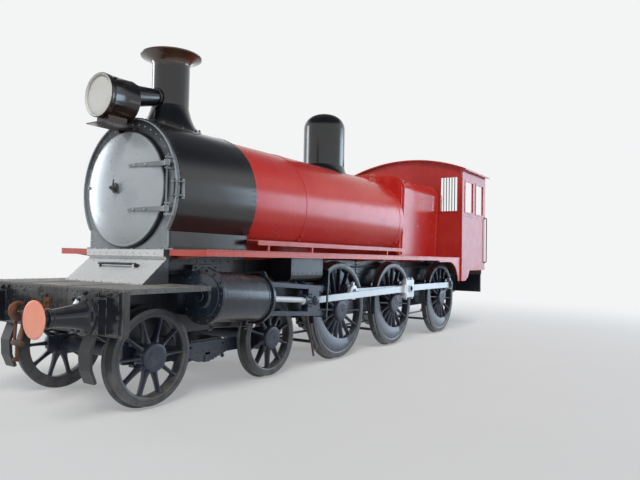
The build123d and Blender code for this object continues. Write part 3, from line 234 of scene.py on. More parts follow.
def piece(name, shapes, material, replaces=(), smooth=40, body="engine"):
    """One object of several closed shapes, its normals turned outwards, riding on its body."""
    points, faces, total = [], [], 0
    for shape_points, shape_faces in shapes:
        points.append(shape_points)
        faces += (shape_faces + total).tolist()
        total += len(shape_points)
    mesh = bpy.data.meshes.new(name)
    mesh.from_pydata((np.concatenate(points) + AT).tolist(), [], faces)
    work = bmesh.new()
    work.from_mesh(mesh)
    bmesh.ops.remove_doubles(work, verts=work.verts, dist=1e-6)
    bmesh.ops.dissolve_degenerate(work, edges=work.edges, dist=1e-6)
    bmesh.ops.recalc_face_normals(work, faces=work.faces)
    work.to_mesh(mesh)
    work.free()
    mesh.shade_smooth()
    mesh.set_sharp_from_angle(angle=math.radians(smooth))
    mesh.materials.append(material)
    made = bpy.data.objects.new(name, mesh)
    bpy.context.scene.collection.objects.link(made)
    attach(made, body)
    if replaces:
        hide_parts(*replaces)
    return made


# Finishes

def new_group(name, inputs, outputs):
    """A shader node group, its named inputs as seen inside it, and its outputs to be fed. An input
    of four numbers is a colour."""
    tree = bpy.data.node_groups.new(name, "ShaderNodeTree")
    for socket, value in inputs.items():
        kind = "NodeSocketColor" if isinstance(value, tuple) else "NodeSocketFloat"
        made = tree.interface.new_socket(name=socket, in_out="INPUT", socket_type=kind)
        made.default_value = value
    for socket, kind in outputs.items():
        tree.interface.new_socket(name=socket, in_out="OUTPUT", socket_type="NodeSocket" + kind)
    return tree, tree.nodes.new("NodeGroupInput").outputs, tree.nodes.new("NodeGroupOutput").inputs


def node(tree, kind, inputs=None, **settings):
    """A node with its settings, each input either a value or another node's output."""
    made = tree.nodes.new(kind)
    for key, value in settings.items():
        setattr(made, key, value)
    for key, value in (inputs or {}).items():
        if isinstance(value, bpy.types.NodeSocket):
            tree.links.new(value, made.inputs[key])
        else:
            made.inputs[key].default_value = value
    return made


def maths(tree, operation, first, second=0.5):
    """The result of one sum."""
    return node(tree, "ShaderNodeMath", {0: first, 1: second}, operation=operation).outputs[0]


def times(tree, first, second):
    """One value times another."""
    return maths(tree, "MULTIPLY", first, second)


def plus(tree, first, second):
    """The sum of two values."""
    return maths(tree, "ADD", first, second)


def minus(tree, first, second):
    """One value less another."""
    return maths(tree, "SUBTRACT", first, second)


def band(tree, value, low, high, start=0.0, end=1.0):
    """A smooth step of the value from low to high."""
    made = node(tree, "ShaderNodeMapRange", {"Value": value, "From Min": low, "From Max": high,
        "To Min": start, "To Max": end}, interpolation_type="SMOOTHSTEP")
    return made.outputs["Result"]


def mixed(tree, amount, first, second):
    """Two colours mixed by an amount."""
    made = node(tree, "ShaderNodeMix", data_type="RGBA", blend_type="MIX")
    for key, value in ((0, amount), (6, first), (7, second)):
        if isinstance(value, bpy.types.NodeSocket):
            tree.links.new(value, made.inputs[key])
        else:
            made.inputs[key].default_value = value
    return made.outputs[2]


def axis_of(tree, place, axis):
    """One axis of a place or a direction."""
    return node(tree, "ShaderNodeSeparateXYZ", {0: place}).outputs[axis]


def noise(tree, vector, scale, detail=4.0, rough=0.55):
    """Cloudy noise between nought and one."""
    return node(tree, "ShaderNodeTexNoise",
        {"Vector": vector, "Scale": scale, "Detail": detail, "Roughness": rough}).outputs["Fac"]


def own_place(tree):
    """The piece's own coordinates."""
    return node(tree, "ShaderNodeTexCoord").outputs["Object"]


def stretched(tree, scale):
    """The piece's own coordinates, scaled along each axis."""
    place = own_place(tree)
    return node(tree, "ShaderNodeMapping", {"Vector": place, "Scale": scale}).outputs["Vector"]


def make_edge_wear():
    """Edges found by how far a rounded normal leaves the true one, broken up by noise."""
    tree, given, made = new_group("edge_wear", {"Width": 0.008, "Break Up": 14.0}, {"Mask": "Float"})
    rounded = node(tree, "ShaderNodeBevel", {"Radius": given["Width"]}, samples=4).outputs["Normal"]
    flat = node(tree, "ShaderNodeNewGeometry").outputs["Normal"]
    same = node(tree, "ShaderNodeVectorMath", {0: rounded, 1: flat}, operation="DOT_PRODUCT").outputs["Value"]
    edge = band(tree, same, 0.985, 0.90)
    chips = band(tree, noise(tree, stretched(tree, (1, 1, 1)), given["Break Up"], 5.0, 0.7), 0.40, 0.62)
    tree.links.new(times(tree, edge, chips), made["Mask"])
    return tree


def make_weather():
    """Age on paint: a cloudy washed-out tone, which on some paints is also a painted sheen, fine grain,
    streaks that run down, dust low down and on top faces, and rust blotches, each with its own amount."""
    tree, given, made = new_group("weather", {"Paint": (0.5, 0.5, 0.5, 1), "Faded And Sheen": (0.6, 0.6, 0.6, 1),
        "Fade And Sheen Amount": 0.5, "Dust": (0.30, 0.27, 0.22, 1), "Dust Amount": 0.3, "Top Dust": 0.3,
        "Rust": (0.13, 0.045, 0.02, 1), "Rust Amount": 0.2, "Edge": 0.0, "Edge Colour": (0.2, 0.2, 0.2, 1),
        "Gloss": 0.3, "Scale": 1.0, "Streaks": 0.3},
        {"Color": "Color", "Roughness": "Float", "Height": "Float"})
    place = node(tree, "ShaderNodeTexCoord")
    scaled = node(tree, "ShaderNodeVectorMath", {0: place.outputs["Object"], "Scale": given["Scale"]},
        operation="SCALE").outputs[0]
    cloud = noise(tree, scaled, 1.1, 5.0, 0.6)
    patch = noise(tree, scaled, 5.0, 6.0, 0.65)
    grain = noise(tree, scaled, 85.0, 3.0, 0.6)
    streak = noise(tree, stretched(tree, (5.5, 5.5, 0.45)), 2.6, 5.0, 0.6)
    blend = plus(tree, cloud, times(tree, minus(tree, streak, cloud), given["Streaks"]))
    fade_and_sheen = times(tree, band(tree, blend, 0.36, 0.66), given["Fade And Sheen Amount"])
    colour = mixed(tree, fade_and_sheen, given["Paint"], given["Faded And Sheen"])
    speck = times(tree, band(tree, grain, 0.58, 0.76), times(tree, given["Dust Amount"], 0.45))
    colour = mixed(tree, speck, colour, given["Dust"])
    height = axis_of(tree, place.outputs["Object"], "Z")
    low = band(tree, height, 1.25, 0.0)
    top = band(tree, axis_of(tree, place.outputs["Normal"], "Z"), 0.45, 0.95)
    dusty = plus(tree, times(tree, low, given["Dust Amount"]), times(tree, top, given["Top Dust"]))
    broken = plus(tree, 0.35, times(tree, band(tree, patch, 0.35, 0.65), 0.9))
    dusty = maths(tree, "MINIMUM", times(tree, dusty, broken), 0.95)
    colour = mixed(tree, dusty, colour, given["Dust"])
    threshold = minus(tree, 0.78, times(tree, given["Rust Amount"], 0.42))
    blotch = plus(tree, times(tree, patch, 0.7), times(tree, grain, 0.3))
    rust = times(tree, maths(tree, "GREATER_THAN", given["Rust Amount"], 0.001),
        band(tree, minus(tree, blotch, threshold), -0.02, 0.07))
    rusty = mixed(tree, grain, given["Rust"], (0.30, 0.115, 0.045, 1))
    colour = mixed(tree, rust, colour, rusty)
    colour = mixed(tree, given["Edge"], colour, given["Edge Colour"])
    rough = plus(tree, given["Gloss"], times(tree, minus(tree, patch, 0.5), 0.25))
    rough = maths(tree, "MAXIMUM", rough, times(tree, maths(tree, "MAXIMUM", rust, dusty), 0.85))
    lift = plus(tree, times(tree, grain, 0.35), times(tree, patch, 0.5))
    lift = plus(tree, lift, times(tree, rust, times(tree, grain, 1.2)))
    tree.links.new(colour, made["Color"])
    tree.links.new(node(tree, "ShaderNodeClamp", {0: rough}).outputs[0], made["Roughness"])
    tree.links.new(lift, made["Height"])
    return tree


EDGE_WEAR = make_edge_wear()
WEATHER = make_weather()


def paint(name, colour, faded_and_sheen, gloss, fade_and_sheen=0.8, dust=0.1, top_dust=0.2, rust=0.0, edge=None, edge_width=0.008,
    metal=0.0, bump=0.14, scale=1.0, coat=0.0, dust_colour=(0.26, 0.235, 0.20, 1), streaks=0.25, specular=0.5,
    extra=None):
    """A weathered paint. extra(tree, colour) may lay one more tone over the colour."""
    made = bpy.data.materials.new(name)
    made.use_nodes = True
    tree = made.node_tree
    shader = tree.nodes["Principled BSDF"]
    aged = node(tree, "ShaderNodeGroup", node_tree=WEATHER)
    values = {"Paint": (*colour, 1), "Faded And Sheen": (*faded_and_sheen, 1), "Fade And Sheen Amount": fade_and_sheen, "Dust Amount": dust,
        "Top Dust": top_dust, "Rust Amount": rust, "Gloss": gloss, "Scale": scale, "Dust": dust_colour,
        "Streaks": streaks}
    for key, value in values.items():
        aged.inputs[key].default_value = value
    if edge is not None:
        worn = node(tree, "ShaderNodeGroup", node_tree=EDGE_WEAR)
        worn.inputs["Width"].default_value = edge_width
        tree.links.new(worn.outputs["Mask"], aged.inputs["Edge"])
        aged.inputs["Edge Colour"].default_value = (*edge, 1)
    colour_out = aged.outputs["Color"]
    if extra:
        colour_out = extra(tree, colour_out)
    tree.links.new(colour_out, shader.inputs["Base Color"])
    tree.links.new(aged.outputs["Roughness"], shader.inputs["Roughness"])
    shader.inputs["Metallic"].default_value = metal
    shader.inputs["Specular IOR Level"].default_value = specular
    shader.inputs["Coat Weight"].default_value = coat
    shader.inputs["Coat Roughness"].default_value = 0.17
    raised = node(tree, "ShaderNodeBump",
        {"Strength": bump, "Distance": 0.004, "Height": aged.outputs["Height"]})
    tree.links.new(raised.outputs["Normal"], shader.inputs["Normal"])
    return made


def height_tint(low, high, tint, scale=9.0, strength=1.0):
    """Lays a tint over the paint between two heights, with a ragged edge: from low, none, to high, all."""
    def lay(tree, colour):
        place = own_place(tree)
        z = axis_of(tree, place, "Z")
        ragged = times(tree, minus(tree, noise(tree, place, scale, 5.0, 0.7), 0.5), abs(high - low) * 2.2)
        mask = times(tree, band(tree, plus(tree, z, ragged), low, high), strength)
        return mixed(tree, mask, colour, (*tint, 1))
    return lay


def beyond(axis, limit, tint, way=1, strength=0.92):
    """Lays a tint over the paint beyond a limit along one axis, or on both sides of the middle
    where way is nought."""
    def lay(tree, colour):
        place = own_place(tree)
        value = axis_of(tree, place, axis)
        if way == 0:
            value = maths(tree, "ABSOLUTE", value)
        mask = maths(tree, "LESS_THAN" if way < 0 else "GREATER_THAN", value, limit)
        return mixed(tree, times(tree, mask, strength), colour, (*tint, 1))
    return lay


def saddle_black_and_painted_shade(tree, colour):
    """The saddle is black behind its silver apron, and the apron's sides are darkened as painted shade."""
    behind = beyond("X", AT[0] - 0.330, (0.010, 0.012, 0.018), -1)(tree, colour)
    return beyond("Y", 0.7185, (0.020, 0.026, 0.038), 0)(tree, behind)


def plate_tint_and_painted_shadow(tree, colour):
    """The front plate darkens towards its top, and a dark ring of painted shadow runs round the door's edge.
    """
    colour = height_tint(2.30 + lift_z, 3.05 + lift_z, (0.030, 0.034, 0.040), 3.0, 0.85)(tree, colour)
    place = node(tree, "ShaderNodeMapping",
        {"Vector": own_place(tree), "Location": (0, 0, -BOILER_Z - lift_z)}).outputs["Vector"]
    flat = node(tree, "ShaderNodeVectorMath", {0: place, 1: (0, 1, 1)}, operation="MULTIPLY").outputs[0]
    reach = node(tree, "ShaderNodeVectorMath", {0: flat}, operation="LENGTH").outputs["Value"]
    return mixed(tree, band(tree, reach, 0.745, 0.705, 0.0, 0.9), colour, (0.012, 0.013, 0.016, 1))


lift_z = AT[2]
RED = paint("boiler_red", (0.54, 0.020, 0.016), (0.62, 0.055, 0.042), 0.24, fade_and_sheen=0.55, top_dust=0.10,
    edge=(0.60, 0.12, 0.09), edge_width=0.010, bump=0.10, specular=0.4)
# A darker copy of the boiler red as painted shade, for the cab sheets, cab trim and firebox plugs; its dust
# and rust are real.
SHADED_RED = paint("cab_red_painted_shade", (0.36, 0.016, 0.013), (0.48, 0.045, 0.034), 0.32, fade_and_sheen=0.6, dust=0.2,
    top_dust=0.35, rust=0.05, edge=(0.62, 0.16, 0.12), edge_width=0.012, bump=0.10, specular=0.4)
# A lighter, pinker red for valances, boards, rails and valves: partly washed-out paint, partly a painted
# sheen of sunlight.
SALMON_WITH_PAINTED_SHEEN = paint("valance_red_with_painted_sheen", (0.50, 0.045, 0.032), (0.62, 0.12, 0.085), 0.34, top_dust=0.5, rust=0.12,
    edge=(0.70, 0.25, 0.19), edge_width=0.010, bump=0.12)
GLOSS_BLACK = paint("smokebox_black", (0.0030, 0.0033, 0.0044), (0.008, 0.0095, 0.013), 0.21, fade_and_sheen=0.5,
    dust=0.06, top_dust=0.06, edge=(0.04, 0.04, 0.045), edge_width=0.006, bump=0.16, coat=0.45)
CHIMNEY_BLACK = paint("chimney_black", (0.0030, 0.0033, 0.0044), (0.008, 0.0095, 0.013), 0.15, fade_and_sheen=0.5,
    dust=0.0, top_dust=0.15, coat=0.45,
    extra=height_tint(4.05 + lift_z, 4.13 + lift_z, (0.095, 0.046, 0.026), 9.0, 0.9))
LAMP_BLACK = paint("lamp_black", (0.0040, 0.0045, 0.0065), (0.012, 0.014, 0.020), 0.17, fade_and_sheen=0.5, dust=0.0,
    top_dust=0.15, edge=(0.09, 0.06, 0.045), bump=0.16, coat=0.4,
    extra=height_tint(3.40 + lift_z, 3.25 + lift_z, (0.045, 0.021, 0.012), 8.0, 0.85))
FRAME_BLACK = paint("frame_black", (0.008, 0.011, 0.017), (0.020, 0.026, 0.037), 0.32, fade_and_sheen=0.7, dust=0.14,
    top_dust=0.40, rust=0.26, edge=(0.12, 0.105, 0.09), edge_width=0.010, bump=0.30)
# The beam's lighter washed-out tone is partly weathering and partly a painted sheen of sunlight.
BEAM_BLACK = paint("beam_black", (0.016, 0.018, 0.022), (0.125, 0.128, 0.130), 0.24, top_dust=0.5, rust=0.28,
    edge=(0.16, 0.15, 0.13), edge_width=0.010, bump=0.34)
PLATFORM_GREY = paint("platform_grey", (0.050, 0.053, 0.056), (0.155, 0.155, 0.150), 0.42, fade_and_sheen=0.9,
    dust=0.15, top_dust=0.75, rust=0.30, edge=(0.22, 0.205, 0.18), edge_width=0.012, bump=0.35,
    dust_colour=(0.33, 0.31, 0.28, 1))
STOCK_BLACK = paint("stock_black", (0.008, 0.010, 0.016), (0.032, 0.036, 0.046), 0.20, dust=0.08,
    top_dust=0.35, rust=0.20, edge=(0.22, 0.215, 0.20), edge_width=0.010, bump=0.22, coat=0.15, specular=0.4)
# A grey darker than the door's silver, as painted shade on the door straps, hinge knuckles and the side
# bracket.
SHADED_STRAP_GREY = paint("strap_grey_painted_shade", (0.17, 0.185, 0.20), (0.27, 0.285, 0.295), 0.30, top_dust=0.4, rust=0.06,
    edge=(0.58, 0.59, 0.59), edge_width=0.007, metal=0.3)
DART_GREY = paint("dart_grey", (0.030, 0.033, 0.038), (0.085, 0.090, 0.095), 0.28, top_dust=0.3, rust=0.08,
    edge=(0.45, 0.46, 0.46), edge_width=0.006, metal=0.3)
# The blue cast in this black and in its washed-out tone is a painted sky reflection.
CYLINDER_BLACK = paint("cylinder_black", (0.010, 0.017, 0.028), (0.034, 0.052, 0.076), 0.25, top_dust=0.3,
    rust=0.22, edge=(0.10, 0.10, 0.10), bump=0.22, coat=0.3,
    extra=height_tint(0.98, 0.82, (0.060, 0.032, 0.020), 6.0, 0.75))
# The blue cast in this black and in its washed-out tone is a painted sky reflection.
WHEEL_BLACK = paint("wheel_black", (0.011, 0.017, 0.040), (0.030, 0.042, 0.080), 0.33, dust=0.14, rust=0.14,
    edge=(0.13, 0.13, 0.13), edge_width=0.006, bump=0.22, scale=1.6)
TYRE_GREY = paint("tyre_grey", (0.018, 0.023, 0.034), (0.060, 0.066, 0.078), 0.32, fade_and_sheen=0.9, dust=0.24,
    top_dust=0.4, rust=0.28, bump=0.20, scale=1.6)
SILVER = paint("smokebox_silver", (0.34, 0.38, 0.41), (0.46, 0.49, 0.505), 0.30, fade_and_sheen=0.7,
    edge=(0.55, 0.56, 0.56), metal=0.35, bump=0.10, streaks=0.05)
# The apron's silver is much lighter than the other silvers: painted sunlight over its silver paint.
SUNLIT_APRON_SILVER = paint("apron_silver_painted_sunlight", (0.62, 0.64, 0.65), (0.76, 0.77, 0.77), 0.26, fade_and_sheen=0.7, dust=0.12,
    top_dust=0.15, rust=0.14, edge=(0.3, 0.28, 0.25), edge_width=0.012, metal=0.12, bump=0.16, streaks=0.1,
    extra=saddle_black_and_painted_shade)
ROD_SILVER = paint("rod_silver", (0.52, 0.57, 0.61), (0.66, 0.69, 0.71), 0.32, fade_and_sheen=0.7, dust=0.12,
    top_dust=0.3, rust=0.10, edge=(0.30, 0.29, 0.27), edge_width=0.006, metal=0.20, streaks=0.1)
CORAL = paint("buffer_coral", (0.88, 0.27, 0.17), (0.92, 0.42, 0.30), 0.46, dust=0.2, rust=0.06,
    edge=(0.70, 0.55, 0.48), edge_width=0.010, bump=0.16, streaks=0.1)
RUSTY = paint("rusty_iron", (0.060, 0.026, 0.018), (0.115, 0.050, 0.030), 0.62, dust=0.3, top_dust=0.4,
    rust=0.7, edge=(0.16, 0.10, 0.07), edge_width=0.006, bump=0.4)
# The crossheads share the wheels' blue-cast black, a painted sky reflection; the silver ahead of each is the
# piston rod's paint.
CROSSHEADS = {}
for side, x in (("left", -2.452), ("right", -2.005)):
    CROSSHEADS[side] = paint("crosshead_" + side, (0.011, 0.017, 0.034), (0.030, 0.042, 0.070), 0.33,
        dust=0.14, top_dust=0.3, rust=0.14, edge=(0.13, 0.13, 0.13), edge_width=0.006, bump=0.2,
        extra=beyond("X", AT[0] + x, (0.66, 0.72, 0.77), 1, 0.96))
BRASS = paint("old_brass", (0.36, 0.24, 0.085), (0.22, 0.15, 0.07), 0.38, fade_and_sheen=0.9, dust=0.0, top_dust=0.5,
    rust=0.1, metal=0.75, bump=0.2)
PLATE_SILVER = paint("front_plate_silver", (0.17, 0.195, 0.215), (0.27, 0.295, 0.31), 0.30, rust=0.06,
    edge=(0.5, 0.51, 0.51), metal=0.30, streaks=0.3, extra=plate_tint_and_painted_shadow)
LENS = paint("lamp_lens", (0.58, 0.57, 0.52), (0.72, 0.715, 0.69), 0.14, fade_and_sheen=0.9, dust=0.0, top_dust=0.0,
    bump=0.05, coat=0.5, streaks=0.0)
LENS_RIM = paint("lamp_rim", (0.66, 0.65, 0.62), (0.76, 0.75, 0.72), 0.4, fade_and_sheen=0.9, dust=0.0, top_dust=0.3,
    rust=0.12, bump=0.15)
FLOOR_BOARDS = paint("cab_floor_boards", (0.095, 0.070, 0.050), (0.15, 0.12, 0.09), 0.7, fade_and_sheen=0.9, dust=0.3,
    top_dust=0.5, bump=0.4)

NODE_FINISHES = (
    (FRAME_BLACK, "main_frames axleboxes driving_springs brake_gear guard_irons ashpan cab_window_bars "
        "firehole_door firehole_frame sandboxes drag_box motion_brackets"),
    (BEAM_BLACK, "front_beam buffer_stocks"),
    (CORAL, "buffer_heads"),
    (RUSTY, "front_coupling"),
    (PLATFORM_GREY, "front_platform"),
    (SUNLIT_APRON_SILVER, "smokebox_saddle"),
    (GLOSS_BLACK, "smokebox_shell steam_dome"),
    (PLATE_SILVER, "smokebox_front"),
    (SILVER, "smokebox_door"),
    (CHIMNEY_BLACK, "chimney"),
    (LAMP_BLACK, "headlight_body headlight_shelf"),
    (LENS, "headlight_lens"),
    (RED, "boiler_barrel firebox_casing"),
    (SALMON_WITH_PAINTED_SHEEN, "boiler_rails safety_valves running_boards"),
    (SHADED_RED, "cab_front cab_sides cab_roof"),
    (FLOOR_BOARDS, "cab_floor"),
    (BRASS, "backhead_fittings"),
    (CYLINDER_BLACK, "cylinder_left cylinder_right"),
    (WHEEL_BLACK, "slide_bars bogie_frame bogie_wheelset_front bogie_wheelset_rear "
        "driving_wheelset_leading driving_wheelset_main driving_wheelset_trailing"),
    (CROSSHEADS["left"], "crosshead_left"),
    (CROSSHEADS["right"], "crosshead_right"),
    (ROD_SILVER, "connecting_rod_left connecting_rod_right coupling_rod_left coupling_rod_right"),
)
for finish, names in NODE_FINISHES:
    for name in names.split():
        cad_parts[name].data.materials.clear()
        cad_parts[name].data.materials.append(finish)


# Wheels

SPOKE_COUNT = {"bogie": 10, "driver": 16}
INCLINE = math.radians(4.18)
MOTION_Y = 1.100
CRANK = 0.330


def spun(shape, angles, centre):
    """A shape drawn about the wheel's centre, set at every angle round the Y axis and moved to the
    centre."""
    points, faces = shape
    angles = np.asarray(angles, float)[:, None]
    x = points[:, 0] * np.cos(angles) - points[:, 2] * np.sin(angles)
    z = points[:, 0] * np.sin(angles) + points[:, 2] * np.cos(angles)
    y = np.broadcast_to(points[:, 1], x.shape)
    moved = np.stack([x, y, z], -1) + np.asarray(centre, float)
    shifted = faces[None] + (np.arange(len(angles)) * len(points))[:, None, None]
    return moved.reshape(-1, 3), shifted.reshape(-1, 4)


def spoke(hub_r, rim_r):
    """One spoke along X: an oval bar, deep across the wheel and thin in its plane, that swells
    smoothly into the hub and the rim. Its half sizes are a + b exp(-distance / length) at each end."""
    r = np.linspace(hub_r * 0.86, rim_r + 0.012, 15)
    near, far = np.exp(-(r - hub_r) / 0.045).clip(0, 1.3), np.exp(-(rim_r - r) / 0.030).clip(0, 1.3)
    run = (r - r[0]) / (r[-1] - r[0])
    thin = 0.0215 - 0.0065 * run + 0.016 * near + 0.013 * far
    deep = 0.050 - 0.012 * run + 0.012 * near + 0.006 * far
    path = np.stack([r, np.full_like(r, 0.8335), np.zeros_like(r)], 1)
    return swept(path, 1.0, 1.0, 2.3, 12, OUT, np.stack([thin, deep], 1))


def tyre(radius):
    """Tyre and rim in one turned section: flange, coned tread, chamfer, the groove between the two,
    and the rim's rounded inner edge."""
    section = [(0.7575, -0.098), (0.7575, 0.019), (0.7620, 0.0260), (0.7690, 0.028), (0.7780, 0.024),
        (0.7850, 0.010), (0.7925, 0.001), (0.8400, -0.001), (0.8890, -0.0035), (0.8960, -0.009),
        (0.8975, -0.016), (0.8975, -0.054), (0.8930, -0.057), (0.8930, -0.062), (0.8965, -0.065),
        (0.8965, -0.084), (0.8920, -0.096), (0.8840, -0.103), (0.8400, -0.110), (0.7900, -0.108),
        (0.7640, -0.103)]
    return [(y, radius + r) for y, r in section]


def crescent(rim_r, crank):
    """The balance weight opposite the crank: between the rim and a circle of 1.12 rim radii whose
    centre lies towards the crank, its section carried from one horn to the other."""
    outer, shift, inner_r = rim_r + 0.015, CRANK * 0.95, rim_r * 1.12
    angle = np.linspace(0.5, TURN - 0.5, 141)
    inner = shift * np.cos(angle) + np.sqrt(inner_r**2 - (shift * np.sin(angle)) ** 2)
    angle = np.linspace(angle[inner < outer][0], angle[inner < outer][-1], 49)
    inner = np.minimum(shift * np.cos(angle) + np.sqrt(inner_r**2 - (shift * np.sin(angle)) ** 2), outer)
    share = np.array([1.0, 0.05, 0.0, 0.0, 0.05, 1.0])
    y = np.array([0.8845, 0.8845, 0.878, 0.789, 0.7825, 0.7825])
    r = inner[:, None] + (outer - inner)[:, None] * share[None]
    turn = angle[:, None] + crank
    points = np.stack([r * np.cos(turn), np.broadcast_to(y, r.shape), r * np.sin(turn)], -1)
    return points.reshape(-1, 3), quads(49, 6, False, True)


def egg(r0, r1, reach):
    """The outline round two circles of radii r0 at nought and r1 at reach along X."""
    lean = math.acos((r0 - r1) / reach)
    a = np.linspace(-lean, lean, 20)
    b = np.linspace(lean, TURN - lean, 20)
    return np.concatenate([np.stack([reach + r1 * np.cos(a), r1 * np.sin(a)], 1),
        np.stack([r0 * np.cos(b), r0 * np.sin(b)], 1)])


def wheel(x, radius, kind, hub_r, first, crank, cap):
    """One wheel on the left: spokes and hub, and on a driver its crank web, boss, weight and crank pin."""
    centre = (x, 0, radius)
    count = SPOKE_COUNT[kind]
    rim_r = radius - 0.105
    angles = math.radians(first) + np.arange(count) * TURN / count
    shapes = [spun(spoke(hub_r, rim_r), angles, centre)]
    hub = [(0.734, 0), (0.734, hub_r * 0.80), (0.744, hub_r * 0.93), (0.790, hub_r), (0.905, hub_r),
        (0.924, hub_r * 0.97), (0.9345, hub_r * 0.90), (0.9375, hub_r * 0.80), (0.9375, 0.098),
        (0.9340, 0.094), (0.9340, 0.086), (0.9375, 0.082), (0.9365, 0.030), (0.9300, 0.024), (0.9300, 0)]
    shapes.append(turned(hub, centre, OUT, 48))
    if crank is not None:
        pin = np.array(centre) + CRANK * np.array([math.cos(crank), 0, math.sin(crank)])
        web = slab(egg(hub_r * 0.96, 0.132, CRANK), 0.785, 0.925, "xz", 0.010)
        shapes.append(spun(web, [crank], centre))
        boss = [(0.80, 0), (0.80, 0.125), (0.945, 0.132), (0.955, 0.129), (0.9595, 0.122), (0.9595, 0.075),
            (0.9595, 0)]
        shapes.append(turned(boss, (pin[0], 0, pin[2]), OUT, 40))
        end = [(0.95, 0), (0.95, 0.060), (1.062, 0.060), (1.0675, 0.055), (1.0675, 0.018),
            (1.061, 0.014), (1.061, 0)]
        if cap:
            end = [(0.95, 0), (0.95, 0.060), (1.069, 0.060), (1.070, 0.088), (1.088, 0.088), (1.094, 0.082),
                (1.094, 0.050), (1.106, 0.047), (1.109, 0.042), (1.109, 0)]
        shapes.append(turned(end, (pin[0], 0, pin[2]), OUT, 40))
        shapes.append(spun(crescent(rim_r, 0.0), [crank], centre))
    return shapes


def wheelset(name, node_name, body, x, radius, kind, hub_r, first, cranks, cap=False):
    """Both wheels on their axle, the centres in one object and the tyres in another."""
    shapes = wheel(x, radius, kind, hub_r, first, cranks[0], cap)
    shapes += [mirror_y(s) for s in wheel(x, radius, kind, hub_r, first, cranks[1], cap)]
    axle = [(-0.80, 0), (-0.80, 0.092), (-0.46, 0.092), (-0.43, 0.084), (0.43, 0.084), (0.46, 0.092),
        (0.80, 0.092), (0.80, 0)]
    shapes.append(turned(axle, (x, 0, radius), OUT, 32))
    piece(name + "_centres", shapes, WHEEL_BLACK, [node_name], body=body)
    rims = turned(tyre(radius), (x, 0, radius), OUT, 96, closed=True)
    piece(name + "_tyres", both(rims), TYRE_GREY, smooth=28, body=body)


LEFT_CRANK, RIGHT_CRANK = math.radians(118.8), math.radians(28.8)
for name, x, first in (("front", 0.0, 0), ("rear", -2.020, 18)):
    wheelset("bogie_" + name, "bogie_wheelset_" + name, "bogie_wheels_" + name, x, 0.525, "bogie", 0.160,
        first, (None, None))
for name, x in zip(("leading", "main", "trailing"), AXLES):
    wheelset(name, "driving_wheelset_" + name, name + "_wheels", x, 0.777, "driver", 0.182, 4,
        (LEFT_CRANK, RIGHT_CRANK), name == "trailing")


# Chimney, dome and lamp

def seated_skirt(x0, carrier_r, inner_r, outer_r, rise, edge):
    """A saddle flange: it leaves the round barrel upright at the rise above the carrier and flares
    out to the outer radius, where it lies on the carrier's round top. Height at radius r is the
    carrier's own height sqrt(R^2 - y^2) + edge + rise ((outer - r) / (outer - inner)) ^ power."""
    count, rows = 72, 14
    angle = np.linspace(0, TURN, count, endpoint=False)[None]
    run = np.linspace(0, 1, rows)[:, None]
    r = outer_r - (outer_r - inner_r) * (1 - (1 - run) ** 1.15)
    top = np.sqrt(np.maximum(carrier_r**2 - (r * np.sin(angle)) ** 2, 0))
    share = run**2.2
    z = top * (1 - share) + carrier_r * share + edge + rise * share
    outer = np.stack([x0 + r * np.cos(angle), r * np.sin(angle), BOILER_Z + z], -1)
    sunk = outer[0].copy()
    sunk[:, 2] -= edge + 0.012
    inner = outer[-1].copy()
    inner[:, :2] = (inner[:, :2] - [x0, 0]) * 0.93 + [x0, 0]
    base = sunk.copy()
    base[:, :2] = (base[:, :2] - [x0, 0]) * (inner_r * 0.93 / outer_r) + [x0, 0]
    base[:, 2] = BOILER_Z + carrier_r - 0.06
    points = np.concatenate([base[None], sunk[None], outer, inner[None]])
    return points.reshape(-1, 3), quads(rows + 3, count, True, True)


def bell(t0, t1, r0, r1, z0, z1, count, power):
    """A flare whose radius grows from r0 to r1 with a power of the height."""
    t = np.linspace(t0, t1, count)
    return np.stack([z0 + (z1 - z0) * t, r0 + (r1 - r0) * t**power], 1)


CHIMNEY_X = -0.920
flare = bell(0, 1, 0.240, 0.386, 4.088, 4.210, 12, 2.3)
throat = bell(1, 0, 0.203, 0.366, 4.088, 4.225, 12, 2.2)
stack = np.concatenate([
    [(3.500, 0.203), (3.500, 0.240), (3.600, 0.240)],
    flare,
    [(4.213, 0.391), (4.221, 0.393), (4.229, 0.390), (4.232, 0.380)],
    throat,
])
stack_shapes = [turned(stack, (CHIMNEY_X, 0, 0), UP, 72, closed=True),
    seated_skirt(CHIMNEY_X, SMOKEBOX_R, 0.237, 0.412, 0.270, 0.014)]
places, out = ring_of(10, 0.384, (CHIMNEY_X, 0, 0), UP, 18)
places[:, 2] = BOILER_Z + np.sqrt(SMOKEBOX_R**2 - places[:, 1] ** 2) + 0.017
up = np.stack([0 * out[:, 0], places[:, 1] / SMOKEBOX_R, np.sqrt(1 - (places[:, 1] / SMOKEBOX_R) ** 2)], 1)
stack_shapes.append(nuts(0.019, places, up))
piece("chimney_casting", stack_shapes, CHIMNEY_BLACK, ["chimney"], 50)

DOME_X = -4.620
dome_top = np.concatenate([
    [(3.240, 0.0), (3.240, 0.376), (3.300, 0.380), (3.700, 0.380)],
    [(4.0, 0.380)],
    np.stack([4.005 + 0.280 * np.sin(np.linspace(0.08, math.pi / 2, 14)),
        0.380 * np.cos(np.linspace(0.08, math.pi / 2, 14)) ** 0.78], 1),
])
dome_top[-1, 1] = 0
piece("dome_casing", [turned(dome_top, (DOME_X, 0, 0), UP, 72), seated_skirt(DOME_X, BOILER_R, 0.376, 0.432,
    0.070, 0.006)], GLOSS_BLACK, ["steam_dome"], 50)

